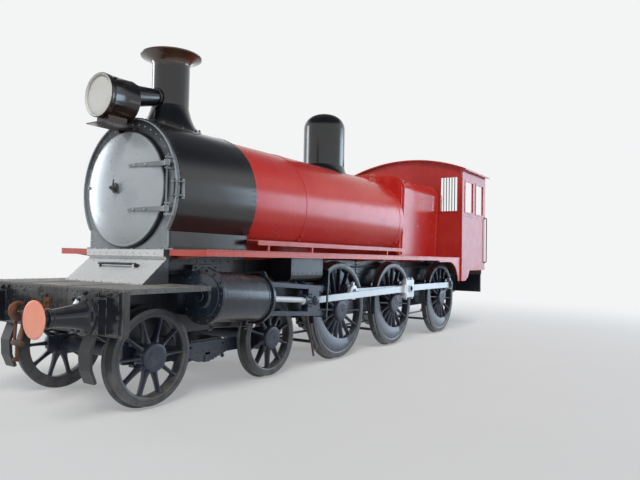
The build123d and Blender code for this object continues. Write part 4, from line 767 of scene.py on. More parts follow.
LAMP_Z = 3.460
drum = [(-0.250, 0.0), (-0.250, 0.250), (-0.244, 0.258), (-0.230, 0.260), (-0.222, 0.256), (0.085, 0.256),
    (0.089, 0.259), (0.097, 0.261), (0.104, 0.258), (0.128, 0.258), (0.134, 0.262), (0.144, 0.262),
    (0.150, 0.259), (0.150, 0.252), (0.142, 0.247), (0.110, 0.244), (0.110, 0)]
t = np.linspace(0, 1, 18)[:, None]
angle = np.linspace(0, TURN, 48, endpoint=False)[None]
steep = np.minimum(t / 0.155, 1)
later = np.maximum(t - 0.155, 0) / 0.845
cone_r = 0.250 + (0.140 - 0.250) * steep + (0.105 - 0.140) * later
cone_x = -0.250 - 0.070 * steep - 0.380 * later
cone_z = LAMP_Z + 0.100 * steep + 0.075 * later
cone = np.stack([np.broadcast_to(cone_x, (18, 48)), cone_r * np.cos(angle),
    cone_z + cone_r * np.sin(angle)], -1)
ends = [np.broadcast_to(cone[k].mean(0), (1, 48, 3)) for k in (0, -1)]
cone_shape = (np.concatenate([ends[0], cone, ends[1]]).reshape(-1, 3), quads(20, 48, False, True))
lamp_shapes = [turned(drum, (0, 0, LAMP_Z), AHEAD, 72), cone_shape]
collar = [(-0.345, 0.130), (-0.345, 0.143), (-0.340, 0.146), (-0.330, 0.146), (-0.325, 0.143),
    (-0.325, 0.130)]
lamp_shapes.append(turned(collar, (0, 0, LAMP_Z + 0.103), AHEAD, 40, closed=True))
flange = [(-0.690, 0.085), (-0.690, 0.118), (-0.682, 0.128), (-0.668, 0.128), (-0.662, 0.118),
    (-0.662, 0.085)]
lamp_shapes.append(turned(flange, (0, 0, LAMP_Z + 0.170), AHEAD, 40, closed=True))
lamp_shapes.append(brick((-0.175, 0.085), (-0.112, 0.112), (3.137, 3.235), 0.006))
lamp_shapes += both(brick((-0.185, 0.095), (0.100, 0.150), (3.137, 3.152), 0.003))
for x in (-0.160, 0.070):
    lamp_shapes += both(nuts(0.011, [(x, 0.136, 3.152)], UP))
pin = stub([(-0.01, 0), (-0.01, 0.020), (0.012, 0.020), (0.014, 0.016), (0.014, 0)], 10)
lamp_shapes.append(copies(pin, *ring_of(2, 0.256, (0.060, 0, LAMP_Z), AHEAD, 45)))
places, out = ring_of(16, 0.259, (-0.237, 0, LAMP_Z), AHEAD, 10)
lamp_shapes.append(rivets(0.006, places - out * 0.003, out))
piece("lamp_case", lamp_shapes, LAMP_BLACK, ["headlight_body"], 42)
glass = [(0.108, 0), (0.108, 0.243), (0.122, 0.243), (0.128, 0.236), (0.137, 0.19), (0.142, 0.13),
    (0.145, 0.06), (0.146, 0)]
piece("lamp_glass", [turned(glass, (0, 0, LAMP_Z), AHEAD, 64)], LENS, ["headlight_lens"], 60)
bezel = [(0.122, 0.241), (0.146, 0.246), (0.152, 0.253), (0.158, 0.251), (0.158, 0.246), (0.150, 0.239),
    (0.130, 0.236)]
piece("lamp_bezel", [turned(bezel, (0, 0, LAMP_Z), AHEAD, 64, closed=True)], LENS_RIM)


# Smokebox

def on_drum(x, degrees, radius):
    """A place on the boiler's round side, degrees up from level on the left, and the way out."""
    a = np.radians(degrees)
    out = np.stack(np.broadcast_arrays(0 * a, np.cos(a), np.sin(a)), -1)
    return np.stack(np.broadcast_arrays(x + 0 * a, radius * np.cos(a),
        BOILER_Z + radius * np.sin(a)), -1), out


heads = []
spread = np.linspace(-34, 214, 58)
for x in (-1.648, -1.598):
    heads.append(rivets(0.0105, *on_drum(x, spread, SMOKEBOX_R - 0.0005)))
heads.append(rivets(0.0105, *on_drum(-0.345, spread, SMOKEBOX_R - 0.0005)))
foot = row((-0.36, 0.758, 1.7035), (-1.63, 0.758, 1.7035), 16)
heads += both(nuts(0.014, foot, UP))
upright = row((-0.345, 0.7205, 1.76), (-0.345, 0.7205, 1.93), 4)
heads += both(rivets(0.0105, upright, OUT))
heads += both(rivets(0.0105, upright - [1.303, 0, 0], OUT))
piece("smokebox_rivets", heads, GLOSS_BLACK)

front = []
places, out = ring_of(44, 0.792, (-0.3005, 0, BOILER_Z), AHEAD, 4)
hinge_side = (np.abs(places[:, 1] - 0.79) < 0.05) & (np.abs(places[:, 2] - BOILER_Z) < 0.36)
front.append(rivets(0.010, places[~hinge_side & (places[:, 2] > 1.76)], AHEAD))
places, out = ring_of(52, 0.862, (-0.2885, 0, BOILER_Z), AHEAD, 1)
front.append(rivets(0.009, places[places[:, 2] > 1.95], AHEAD))
arc_z = np.linspace(-33.5, 213.5, 100)
rim_path = np.stack([np.full(100, -0.2955), 0.861 * np.cos(np.radians(arc_z)),
    BOILER_Z + 0.861 * np.sin(np.radians(arc_z))], 1)
front.append(swept(rim_path, 0.0085, 0.0195, 3.5, 8, AHEAD))
side = row((-0.2995, 0.690, 1.72), (-0.2995, 0.690, 1.92), 4)
front += both(rivets(0.010, side, AHEAD))
piece("smokebox_front_ring", front, SILVER)

bracket = [brick((-0.298, -0.264), (0.802, 0.836), (2.262, 2.492), 0.004),
    brick((-0.376, -0.342), (0.866, 0.902), (2.262, 2.492), 0.004)]
for z in (2.300, 2.455):
    tie = [(-0.272, 0.820, z), (-0.266, 0.856, z), (-0.276, 0.888, z), (-0.310, 0.900, z), (-0.360, 0.899, z)]
    bracket.append(swept(tie, 0.012, 0.009, 3, 10))
    bracket.append(nuts(0.013, [(-0.359, 0.902, z)], OUT))
    bracket.append(nuts(0.013, [(-0.264, 0.819, z)], AHEAD))
bracket.append(swept([(-0.270, 0.885, 2.28), (-0.270, 0.885, 2.475)], 0.008, None, 2, 10, AHEAD))
piece("smokebox_side_bracket", bracket, SHADED_STRAP_GREY)


# Smokebox door

door_crown_x = -0.140
HINGE_HEIGHTS = (BOILER_Z - 0.260, BOILER_Z + 0.260)
dart = [
    turned([(-0.002, 0), (-0.002, 0.064), (0.006, 0.066), (0.012, 0.062), (0.012, 0)],
        (door_crown_x + 0.020, 0, BOILER_Z), AHEAD, 40),
    turned([(0, 0), (0, 0.044), (0.014, 0.046), (0.020, 0.040), (0.020, 0)],
        (door_crown_x + 0.030, 0, BOILER_Z), AHEAD, 32),
    turned([(0, 0), (0, 0.034), (0.028, 0.034), (0.032, 0.029), (0.032, 0)],
        (door_crown_x + 0.048, 0, BOILER_Z), AHEAD, 6),
    turned([(0, 0), (0, 0.015), (0.026, 0.015), (0.031, 0.008), (0.031, 0)],
        (door_crown_x + 0.078, 0, BOILER_Z), AHEAD, 16),
    swept([(door_crown_x + 0.060, 0.0, BOILER_Z + 0.030), (door_crown_x + 0.064, 0.012, BOILER_Z + 0.075),
        (door_crown_x + 0.060, 0.018, BOILER_Z + 0.100)], 0.009, None, 2, 10, AHEAD),
]
piece("door_dart", dart, DART_GREY, body="smokebox_door")
straps = []
for z in HINGE_HEIGHTS:
    y = np.concatenate([np.linspace(0.192, 0.650, 9), [0.700, 0.745, 0.772]])
    x = np.where(y < 0.651, -0.1497 - (y - 0.2) * 0.1467, -0.2157 + (y - 0.65) * 0.11) - 0.003
    taper = np.stack([np.concatenate([[0.55], np.ones(11)]),
        np.concatenate([[0.42], np.linspace(0.64, 1.0, 11)])], 1)
    straps.append(swept(np.stack([x, y, 0 * y + z], 1), 0.013, 0.0325, 6, 16, UP, taper))
    knuckle = [(-0.0345, 0.013), (-0.0345, 0.028), (-0.031, 0.0315), (0.031, 0.0315), (0.0345, 0.028),
        (0.0345, 0.013)]
    straps.append(turned(knuckle, (-0.205, 0.790, z), UP, 28, closed=True))
piece("door_straps", straps, SHADED_STRAP_GREY, body="smokebox_door")
door_shapes = []
for z in HINGE_HEIGHTS:
    for y, x in ((0.300, -0.163), (0.470, -0.186)):
        door_shapes.append(nuts(0.017, [(x + 0.0105, y, z)], (0.99, 0.14, 0)))
bead = turned([(-0.2605, 0.655), (-0.2605, 0.6915), (-0.250, 0.6935), (-0.240, 0.690), (-0.234, 0.678),
    (-0.2365, 0.655)], (0, 0, BOILER_Z), AHEAD, 120, closed=True)
door_shapes.append(bead)
door_shapes.append(nuts(0.020, ring_of(2, 0.672, (-0.236, 0, BOILER_Z), AHEAD, 176)[0][:1], AHEAD))
piece("door_fittings", door_shapes, SILVER, body="smokebox_door")


# Cylinders and motion

AXIS = (math.cos(INCLINE), 0.0, math.sin(INCLINE))
AXIS_BACK = (-AXIS[0], 0, -AXIS[2])
AXIS_UP = (-AXIS[2], 0, AXIS[0])
MAIN = np.array([-5.800, 0.0, 0.777])
ROD_LENGTH = 3.250


def along(s, y, h=0.0):
    """A place on the motion's own line: s ahead of the main axle, y out and h square to the line."""
    s, y, h = np.broadcast_arrays(np.asarray(s, float), y, h)
    x = MAIN[0] + s * math.cos(INCLINE) - h * math.sin(INCLINE)
    return np.stack([x, y, MAIN[2] + s * math.sin(INCLINE) + h * math.cos(INCLINE)], -1)


def leaned(shape):
    """A shape drawn with s, y and h as its axes, set on the motion's line."""
    points, faces = shape
    return along(points[:, 0], points[:, 1], points[:, 2]), faces


def motion_ring(profile, count=56, closed=True):
    """A turned ring about the cylinder's own axis."""
    return turned(profile, along(0, MOTION_Y), AXIS, count, closed)


cylinder_shapes = []
cover = [(5.300, 0), (5.300, 0.258), (5.323, 0.258), (5.329, 0.252), (5.331, 0.236), (5.333, 0.160),
    (5.340, 0.146), (5.356, 0.136), (5.361, 0.122), (5.362, 0.060), (5.370, 0.055),
    (5.372, 0.046), (5.372, 0)]
cylinder_shapes.append(motion_ring(cover, 64, False))
for low, high, r in ((5.262, 5.300, 0.3225), (5.196, 5.222, 0.2960), (4.398, 4.412, 0.3225),
    (4.440, 4.466, 0.2960)):
    hoop = [(low, r - 0.03), (low, r - 0.002), (low + 0.002, r), (high - 0.002, r), (high, r - 0.002),
        (high, r - 0.03)]
    cylinder_shapes.append(motion_ring(hoop, 64))
places, out = ring_of(14, 0.288, along(5.315, MOTION_Y), AXIS, 8)
cylinder_shapes.append(nuts(0.0185, places, AXIS))
places, out = ring_of(14, 0.292, along(4.370, MOTION_Y), AXIS, 8)
cylinder_shapes.append(nuts(0.0170, places, AXIS_BACK))
gland = [(4.292, 0.043), (4.292, 0.074), (4.297, 0.079), (4.312, 0.079), (4.312, 0.096), (4.322, 0.098),
    (4.326, 0.096), (4.326, 0.043)]
cylinder_shapes.append(motion_ring(gland, 36))
places, out = ring_of(4, 0.080, along(4.310, MOTION_Y), AXIS, 45)
cylinder_shapes.append(nuts(0.011, places, AXIS_BACK))
for s in (4.52, 5.14):
    cock = np.concatenate([along([s, s], MOTION_Y, [-0.285, -0.330]),
        along([s, s + 0.01, s + 0.06], MOTION_Y + 0.01, [-0.352, -0.372, -0.385])])
    cylinder_shapes.append(swept(cock, 0.012, None, 2, 10, OUT))
    cylinder_shapes.append(copies(stub([(-0.012, 0), (-0.012, 0.022), (0.012, 0.022), (0.012, 0)], 6),
        [along(s, MOTION_Y, -0.322)], [AXIS_UP]))
    cylinder_shapes.append(swept(along(s, np.linspace(MOTION_Y - 0.03, MOTION_Y + 0.05, 4), -0.345), 0.006,
        None, 2, 8))
cylinder_shapes.append(swept(along(np.linspace(4.36, 5.18, 8), MOTION_Y + 0.055, -0.345), 0.008, 0.005, 2, 8))
chest_row = along(np.linspace(4.50, 5.18, 8), 0.775, 0.285)
cylinder_shapes.append(leaned(brick((4.46, 5.215), (0.640, 0.800), (0.262, 0.300), 0.005)))
cylinder_shapes.append(nuts(0.015, chest_row + [0, 0, 0.015], AXIS_UP))
for h in (0.060, -0.140):
    cylinder_shapes.append(nuts(0.016, along(np.linspace(4.50, 5.18, 5), 0.655, h), (0, 0.2, 1)))
for side, shapes in (("left", cylinder_shapes), ("right", [mirror_y(s) for s in cylinder_shapes])):
    piece("cylinder_fittings_" + side, shapes, CYLINDER_BLACK, smooth=35)

bar_shapes = []
for h, way in ((0.2185, 1), (-0.2185, -1)):
    up = (-AXIS[2] * way, 0, AXIS[0] * way)
    for s in (2.90, 2.97, 4.24, 4.31):
        bar_shapes += both(nuts(0.016, [along(s, MOTION_Y - 0.026, h), along(s, MOTION_Y + 0.026, h)], up))
    bar_shapes += both(leaned(brick((4.20, 4.365), (MOTION_Y - 0.058, MOTION_Y + 0.058),
        tuple(sorted((h, h + way * 0.014))), 0.003)))
    oiler = stub([(-0.005, 0), (-0.005, 0.020), (0.026, 0.020), (0.030, 0.016), (0.036, 0.010),
        (0.042, 0.010), (0.044, 0)], 12)
    if way > 0:
        bar_shapes += both(copies(oiler, [along(3.55, MOTION_Y, h)], up))
piece("slide_bar_fittings", bar_shapes, WHEEL_BLACK)

for side, way, crank in (("left", 1, LEFT_CRANK), ("right", -1, RIGHT_CRANK)):
    lean = crank - INCLINE
    pin_s = CRANK * math.cos(lean) + math.sqrt(ROD_LENGTH**2 - (CRANK * math.sin(lean)) ** 2)
    front = along(pin_s, 0)
    rear = MAIN + CRANK * np.array([math.cos(crank), 0, math.sin(crank)])
    tilt = math.atan2(front[2] - rear[2], front[0] - rear[0])

    def on_rod(shape):
        """A shape drawn with the crank pin as its origin and the rod along X, set on the rod."""
        points, faces = spun(shape, [tilt], (rear[0], 0, rear[2]))
        return (points, faces) if way > 0 else mirror_y((points, faces))

    pin = (front[0], 0, front[2])
    end = [(1.154, 0), (1.154, 0.066), (1.160, 0.070), (1.172, 0.068), (1.178, 0.060), (1.178, 0.046),
        (1.194, 0.042), (1.197, 0.034), (1.197, 0)]
    head_shapes = [turned(end, pin, OUT, 32)]
    for s in (pin_s + 0.115, pin_s + 0.160):
        head_shapes.append(nuts(0.013, along(s, 1.1585, np.array([-0.085, -0.045, 0.045, 0.085])), OUT))
    for h in (-0.135, 0.135):
        head_shapes.append(nuts(0.012, along(pin_s + np.array([-0.15, -0.10]), 1.152, h), OUT))
    collar = [(pin_s + 0.200, 0.039), (pin_s + 0.200, 0.070), (pin_s + 0.206, 0.076), (pin_s + 0.250, 0.076),
        (pin_s + 0.258, 0.068), (pin_s + 0.258, 0.039)]
    head_shapes.append(motion_ring(collar, 32))
    head_shapes = head_shapes if way > 0 else [mirror_y(s) for s in head_shapes]
    piece("crosshead_fittings_" + side, head_shapes, WHEEL_BLACK, body="crosshead_" + side)

    strap = [(-0.178, -0.168), (0.178, -0.168), (0.178, -0.095), (0.235, -0.070), (0.235, 0.070),
        (0.178, 0.095), (0.178, 0.168), (-0.178, 0.168)]
    rod_shapes = [on_rod(slab(strap, 1.078, 1.166, "xz", 0.006))]
    for x in (-0.126, 0.126):
        rod_shapes.append(on_rod(brick((x - 0.020, x + 0.020), (1.088, 1.156), (-0.206, 0.206), 0.004)))
        rod_shapes.append(on_rod(nuts(0.017, [(x, 1.122, 0.170)], UP)))
    rod_shapes.append(on_rod(turned([(1.160, 0), (1.160, 0.086), (1.168, 0.090), (1.174, 0.086),
        (1.174, 0.060), (1.192, 0.057), (1.196, 0.050), (1.196, 0)], (0, 0, 0), OUT, 36)))
    cup = [(0.160, 0), (0.160, 0.030), (0.196, 0.030), (0.200, 0.034), (0.206, 0.034), (0.210, 0.028),
        (0.214, 0.014), (0.224, 0.012), (0.226, 0)]
    rod_shapes.append(on_rod(turned(cup, (0, 1.122, 0), UP, 20)))
    small_end = [(1.070, 0.045), (1.070, 0.086), (1.076, 0.092), (1.124, 0.092), (1.130, 0.086),
        (1.130, 0.045)]
    rod_shapes.append(turned(small_end, (front[0], 0, front[2]), (0, way, 0), 36, closed=True))
    piece("connecting_rod_fittings_" + side, rod_shapes, ROD_SILVER,
        body="connecting_rod_" + side)

    side_shapes = []
    for x, r in zip(AXLES, (0.118, 0.118, 0.098)):
        place = (x + rear[0] - MAIN[0], rear[2])
        bush = [(1.002, 0.0635), (1.002, r * 0.84), (1.006, r * 0.90), (1.0695, r * 0.90), (1.0725, r * 0.84),
            (1.0725, 0.0635)]
        side_shapes.append(turned(bush, (place[0], 0, place[1]), OUT, 40, closed=True))
        lid = [(r + 0.030, 0), (r + 0.030, 0.026), (r + 0.050, 0.026), (r + 0.054, 0.020), (r + 0.060, 0.010),
            (r + 0.066, 0)]
        side_shapes.append(turned(lid, (place[0], 1.037, place[1]), UP, 16))
    knuckle = rear[0] - 0.283
    side_shapes.append(turned([(1.001, 0), (1.001, 0.036), (1.0705, 0.036), (1.0725, 0.030), (1.0725, 0)],
        (knuckle, 0, rear[2]), OUT, 24))
    side_shapes = side_shapes if way > 0 else [mirror_y(s) for s in side_shapes]
    piece("coupling_rod_fittings_" + side, side_shapes, ROD_SILVER, body="coupling_rod_" + side)


# Front end

BUFFER_Z = 1.030
BUFFER = (0.0, 0.900, BUFFER_Z)
stock = [(0.842, 0), (0.842, 0.187), (0.846, 0.190), (0.868, 0.190), (0.872, 0.186), (0.873, 0.152),
    (0.882, 0.140), (0.900, 0.130), (0.940, 0.119), (1.000, 0.107), (1.060, 0.098), (1.120, 0.090),
    (1.160, 0.086), (1.188, 0.085), (1.193, 0.091), (1.199, 0.094), (1.226, 0.094), (1.232, 0.091),
    (1.234, 0.085), (1.234, 0.066), (1.060, 0.066), (1.060, 0)]
stock_shapes = both(turned(stock, BUFFER, AHEAD, 56))
stock_shapes += both(brick((0.741, 0.845), (0.695, 1.105), (0.858, 1.202), 0.010))
stock_shapes += both(brick((0.741, 0.757), (0.672, 1.290), (0.862, 1.262), 0.003))
for y, z in ((0.722, 0.885), (1.078, 0.885), (0.722, 1.175), (1.078, 1.175)):
    stock_shapes += both(nuts(0.021, [(0.845, y, z)], AHEAD))
stock_shapes += both(nuts(0.015, ring_of(8, 0.170, (0.872, 0.900, BUFFER_Z), AHEAD, 22.5)[0], AHEAD))
for z in (0.905, 1.030, 1.150, 1.235):
    stock_shapes += both(rivets(0.014, [(0.757, 1.262, z)], AHEAD))
stock_shapes += both(nuts(0.022,
    [(0.757, 1.150, 1.238), (0.757, 0.960, 1.236), (0.757, 0.770, 1.236)], AHEAD))
piece("buffer_castings", stock_shapes, STOCK_BLACK, ["buffer_stocks"], 45)
plunger = [(1.070, 0), (1.070, 0.062), (1.322, 0.062), (1.329, 0.078), (1.329, 0)]
piece("buffer_plungers", both(turned(plunger, BUFFER, AHEAD, 40)), WHEEL_BLACK)
face = [(1.320, 0), (1.320, 0.080), (1.327, 0.150), (1.330, 0.169), (1.334, 0.1735), (1.340, 0.1735),
    (1.345, 0.170), (1.3485, 0.160), (1.350, 0.145), (1.350, 0)]
piece("buffer_faces", both(turned(face, BUFFER, AHEAD, 64)), CORAL, ["buffer_heads"], 50)

BEAM_FACE = 0.7395
beam_shapes = []
for z in (1.248, 0.885):
    spots = row((BEAM_FACE, -0.62, z), (BEAM_FACE, 0.62, z), 14)
    beam_shapes.append(rivets(0.012, spots[np.abs(spots[:, 1]) > 0.19], AHEAD))
for y in (0.335, 0.560):
    beam_shapes += both(rivets(0.012, row((BEAM_FACE, y, 0.92), (BEAM_FACE, y, 1.21), 6), AHEAD))
beam_shapes.append(brick((0.663, 0.735), (-1.318, 1.318), (0.836, 0.853), 0.003))
prong = [(0.752, 0.030, 1.140), (0.775, -0.020, 1.155), (0.800, -0.100, 1.185), (0.815, -0.165, 1.212),
    (0.820, -0.200, 1.236)]
beam_shapes.append(swept(prong, 0.026, 0.013, 3, 12, AHEAD))
beam_shapes.append(brick((0.739, 0.760), (0.000, 0.090), (1.100, 1.200), 0.004))
beam_shapes.append(nuts(0.020, [(0.760, 0.045, 1.122), (0.760, 0.045, 1.178), (0.826, -0.196, 1.226)], AHEAD))
piece("beam_fittings", beam_shapes, BEAM_BLACK)

deck_shapes = []
edge = row((0.7405, -1.28, 1.264), (0.7405, 1.28, 1.264), 22)
deck_shapes.append(rivets(0.010, edge, AHEAD))
deck_shapes += both(rivets(0.010, row((0.70, 1.3255, 1.262), (-0.36, 1.3255, 1.262), 10), OUT))
deck_shapes += both(rivets(0.008, row((0.70, 1.295, 1.2895), (-0.36, 1.295, 1.2895), 12), UP))
deck_shapes.append(rivets(0.008, row((0.705, -1.24, 1.2895), (0.705, 1.24, 1.2895), 22), UP))
for y in (-0.44, 0.44):
    deck_shapes.append(brick((0.030, 0.735), (y - 0.03, y + 0.03), (1.288, 1.2945), 0.002))
piece("platform_fittings", deck_shapes, PLATFORM_GREY)

link_x = 0.985
hook_turn = np.radians(np.linspace(-100, 148, 22))
hook = np.concatenate([[(0.760, 0, BUFFER_Z), (0.85, 0, BUFFER_Z), (0.90, 0, 1.018)],
    np.stack([0.978 + 0.072 * np.cos(hook_turn), 0 * hook_turn, BUFFER_Z + 0.072 * np.sin(hook_turn)], 1)])
swell = np.concatenate([[1.0, 1.0, 1.05], np.linspace(1.1, 1.15, 12), np.linspace(1.1, 0.45, 10)])
coupling = [swept(hook, 0.033, 0.036, 2.6, 14, OUT, swell)]
coupling.append(brick((0.740, 0.764), (-0.160, 0.160), (0.900, 1.160), 0.006))
coupling.append(nuts(0.022, [(0.764, y, z) for y in (-0.118, 0.118) for z in (0.942, 1.118)], AHEAD))
coupling.append(turned([(0.762, 0.04), (0.762, 0.072), (0.770, 0.078), (0.790, 0.074), (0.796, 0.060),
    (0.796, 0.04)], (0, 0, BUFFER_Z), AHEAD, 32, closed=True))
bend = np.radians(np.linspace(0, 180, 15))
shackle = np.concatenate([[(link_x, 0.062, 0.700)], np.stack([0 * bend + link_x - 0.01, 0.062 * np.cos(bend),
    0.960 + 0.050 * np.sin(bend)], 1), [(link_x, -0.062, 0.700)]])
coupling.append(swept(shackle, 0.0165, None, 2, 12, AHEAD))
coupling.append(turned([(-0.090, 0), (-0.090, 0.026), (-0.040, 0.032), (0.040, 0.032), (0.090, 0.026),
    (0.090, 0)], (link_x, 0, 0.700), OUT, 20))
thread = np.linspace(0.515, 0.690, 36)
screw = np.stack([thread, 0.0215 + 0.0030 * np.cos(np.arange(36) * math.pi)], 1)
coupling.append(turned(np.concatenate([[(0.512, 0)], screw, [(0.695, 0)]]), (link_x, 0, 0), UP, 20))
coupling.append(swept([(link_x, 0.0, 0.560), (link_x + 0.05, 0.03, 0.552), (link_x + 0.055, 0.035, 0.530)],
    0.010, None, 2, 10, OUT))
piece("screw_coupling", coupling, RUSTY, ["front_coupling"], 45)


# Boiler, firebox and running boards

lugs = []
for x in (-1.700, -2.900, -6.150):
    for degrees in (-31, -37):
        place, out = on_drum(x, degrees, BOILER_R + 0.018)
        lugs += both(copies(stub([(-0.020, 0), (-0.020, 0.024), (0.010, 0.024), (0.014, 0.020), (0.014, 0)],
            4), place, out))
    bolt_path, out = on_drum(np.full(5, x), np.linspace(-29, -39, 5), BOILER_R + 0.022)
    lugs += both(swept(bolt_path, 0.008, None, 2, 10, AHEAD))
seam, out = on_drum(np.linspace(-1.80, -2.80, 22), 78.0 + np.zeros(22), BOILER_R - 0.001)
lugs.append(rivets(0.007, seam, out))
seam, out = on_drum(np.linspace(-3.00, -6.05, 58), 74.0 + np.zeros(58), BOILER_R - 0.001)
lugs.append(rivets(0.007, seam[np.abs(seam[:, 0] + 4.62) > 0.46], out[np.abs(seam[:, 0] + 4.62) > 0.46]))
piece("boiler_band_lugs", lugs, RED)


def crown_line(half, crown, shoulder, count):
    """Places up the left side of the firebox casing and over to its crown, and the way out there:
    a side leaning in below, a shoulder arc and a wide crown arc that meets it smoothly."""
    lift = crown - 3.050
    centre = half - shoulder
    crown_r = (centre**2 + lift**2 - shoulder**2) / (2 * (lift - shoulder))
    bearing = math.atan2(3.050 - (crown - crown_r), centre)
    t = np.linspace(0, 1, count)[:, None]
    wall = np.array([half - 0.040, 1.72]) + t * np.array([0.040, 1.33])
    a = np.linspace(0, bearing, count // 2)[:, None]
    bend = np.array([centre, 3.050]) + shoulder * np.concatenate([np.cos(a), np.sin(a)], 1)
    b = np.linspace(bearing, math.pi / 2, count)[:, None]
    top = np.array([0, crown - crown_r]) + crown_r * np.concatenate([np.cos(b), np.sin(b)], 1)
    path = np.concatenate([wall, bend[1:], top[1:]])
    along_path = unit(np.gradient(path, axis=0))
    return path, np.stack([along_path[:, 1], -along_path[:, 0]], 1)


def set_at(x, line):
    """A line drawn in Y and Z, set upright at x."""
    return np.stack([np.full(len(line), x), line[:, 0], line[:, 1]], 1)


BAND_XS = (-6.402, -8.205)
firebox = []
path, out = crown_line(0.790, 3.390, 0.270, 26)
for x in BAND_XS:
    firebox += both(swept(set_at(x, path), 0.030, 0.0045, 4, 8, AHEAD))
studs, ways = evenly(path, out, 0.05, 34)
for x in BAND_XS:
    firebox += both(rivets(0.012, set_at(x, studs + ways * 0.004), set_at(0.0, ways)))
piece("firebox_bands", firebox, RED)
plugs = []
for x in (-6.62, -7.12, -7.62, -8.08):
    angle = 0.72
    spot = np.array([0.520 + 0.270 * math.cos(angle), 3.050 + 0.270 * math.sin(angle)])
    way = (0, math.cos(angle), math.sin(angle))
    plugs += both(copies(stub([(-0.004, 0), (-0.004, 0.034), (0.004, 0.036), (0.010, 0.032), (0.012, 0.026),
        (0.012, 0)], 24), [(x, spot[0], spot[1])], way))
    plugs += both(copies(stub([(0.008, 0), (0.008, 0.015), (0.026, 0.014), (0.028, 0.011), (0.028, 0)], 4),
        [(x, spot[0], spot[1])], way))
# The plugs take the darker red that stands for painted shade.
piece("firebox_plugs", plugs, SHADED_RED)

edge_rivets = []
edge_x = np.arange(-0.40, -7.0, -0.165)
edge_rivets += both(rivets(0.0065, level_line(edge_x, 1.350, 1.640), OUT))
tread_x = np.arange(-1.80, -8.2, -0.20)
edge_rivets += both(rivets(0.006, level_line(tread_x, 1.318, 1.685), UP))
rail_x = np.arange(-1.75, -6.2, -0.30)
edge_rivets += both(rivets(0.006, level_line(rail_x, 0.922, 1.806), OUT))
turn = np.radians(np.linspace(8, 82, 9))
arch = np.stack([-7.600 - 0.585 * np.sin(turn), 0 * turn + 1.350, 1.036 + 0.585 * np.cos(turn)], 1)
edge_rivets += both(rivets(0.0065, arch, OUT))
for x in (-1.905, -2.956, -5.463):
    edge_rivets += both(brick((x - 0.034, x + 0.034), (0.880, 0.932), (1.683, 1.696), 0.003))
    edge_rivets += both(nuts(0.009, [(x - 0.024, 0.906, 1.696), (x + 0.024, 0.906, 1.696)], UP))
edge_rivets += both(swept(level_line(np.linspace(-0.302, -8.24, 30), 1.3515, 1.6865), 0.006, None, 2, 8))
piece("board_rivets", edge_rivets, SALMON_WITH_PAINTED_SHEEN)

VALVE_X = -6.080
valve_body = [(3.05, 0), (3.05, 0.066), (3.170, 0.066), (3.176, 0.074), (3.192, 0.075), (3.198, 0.068),
    (3.252, 0.068), (3.262, 0.060), (3.268, 0.047), (3.302, 0.045), (3.306, 0.061), (3.318, 0.062),
    (3.334, 0.060), (3.338, 0.046), (3.346, 0.043), (3.350, 0.034), (3.350, 0)]
valves = both(turned(valve_body, (VALVE_X, 0.240, 0), UP, 40))
places, out = ring_of(6, 0.062, (VALVE_X, 0.240, 3.192), UP)
valves += both(nuts(0.010, places, UP))
valves.append(swept([(VALVE_X, y, 3.356) for y in np.linspace(-0.285, 0.285, 8)], 0.014, 0.007, 4, 10))
valves += both(turned([(3.340, 0), (3.340, 0.013), (3.372, 0.013), (3.378, 0.007), (3.378, 0)],
    (VALVE_X, 0.240, 0), UP, 8))
valves.append(swept([(VALVE_X, 0, 3.262), (VALVE_X, 0, 3.352)], 0.010, None, 2, 10, AHEAD))
piece("safety_valve_pair", valves, SALMON_WITH_PAINTED_SHEEN, ["safety_valves"], 45)


# Cab

def surround(axis, face, way, u, z, width, thick):
    """Four bevelled strips round a window in a sheet square to X or Y."""
    near, far = sorted((face, face + way * thick))
    spans = [((u[0] - width, u[1] + width), (z[1], z[1] + width)), ((u[0] - width, u[1] + width),
        (z[0] - width, z[0])), ((u[0] - width, u[0]), z), ((u[1], u[1] + width), z)]
    if axis == "y":
        return [brick(span, (near, far), height, 0.003) for span, height in spans]
    return [brick((near, far), span, height, 0.003) for span, height in spans]


CAB_SIDE = 1.385
CAB_FACE = -8.2495
cab = []
for x in (-8.690, -9.440):
    for strip in surround("y", CAB_SIDE, 1, (x - 0.260, x + 0.260), (2.740, 3.440), 0.034, 0.010):
        cab += both(strip)
    for strip in surround("y", 1.365, -1, (x - 0.260, x + 0.260), (2.740, 3.440), 0.034, 0.012):
        cab += both(strip)
for strip in surround("x", -8.250, 1, (0.870, 1.260), (2.750, 3.520), 0.030, 0.010):
    cab += both(strip)
seams = box_lines((-8.300, -9.860), (1.450, 2.640), CAB_SIDE, 0.105)
cab += both(rivets(0.0065, seams, OUT))
cab += both(swept(level_line(np.linspace(-8.275, -9.86, 8), 1.386, 2.655), 0.004, 0.012, 4, 8))
cab += both(rivets(0.0065, row((CAB_FACE, 0.90, 1.75), (CAB_FACE, 1.33, 1.75), 6), AHEAD))
cab += both(rivets(0.0065, row((CAB_FACE, 1.335, 1.80), (CAB_FACE, 1.335, 3.62), 18), AHEAD))
ROOF_TOP = 3.985
roof_r = (1.46**2 + 0.285**2) / 0.57
across_y = np.linspace(-1.455, 1.455, 41)
roof_z = ROOF_TOP - roof_r + np.sqrt(roof_r**2 - across_y**2)
roof_line = np.stack([across_y, roof_z], 1)
roof_ways = np.stack([0 * across_y, across_y, roof_z - ROOF_TOP + roof_r], 1)
for x in (-8.215, -8.790, -9.370, -9.945):
    cab.append(swept(set_at(x, roof_line + [0, 0.002]), 0.026, 0.005, 4, 8))
    cab.append(rivets(0.006, set_at(x, roof_line + [0, 0.0065])[1:-1], roof_ways[1:-1]))
for x in (-8.178, -9.982):
    cab.append(swept(set_at(x, roof_line - [0, 0.011]), 0.006, 0.015, 3, 8))
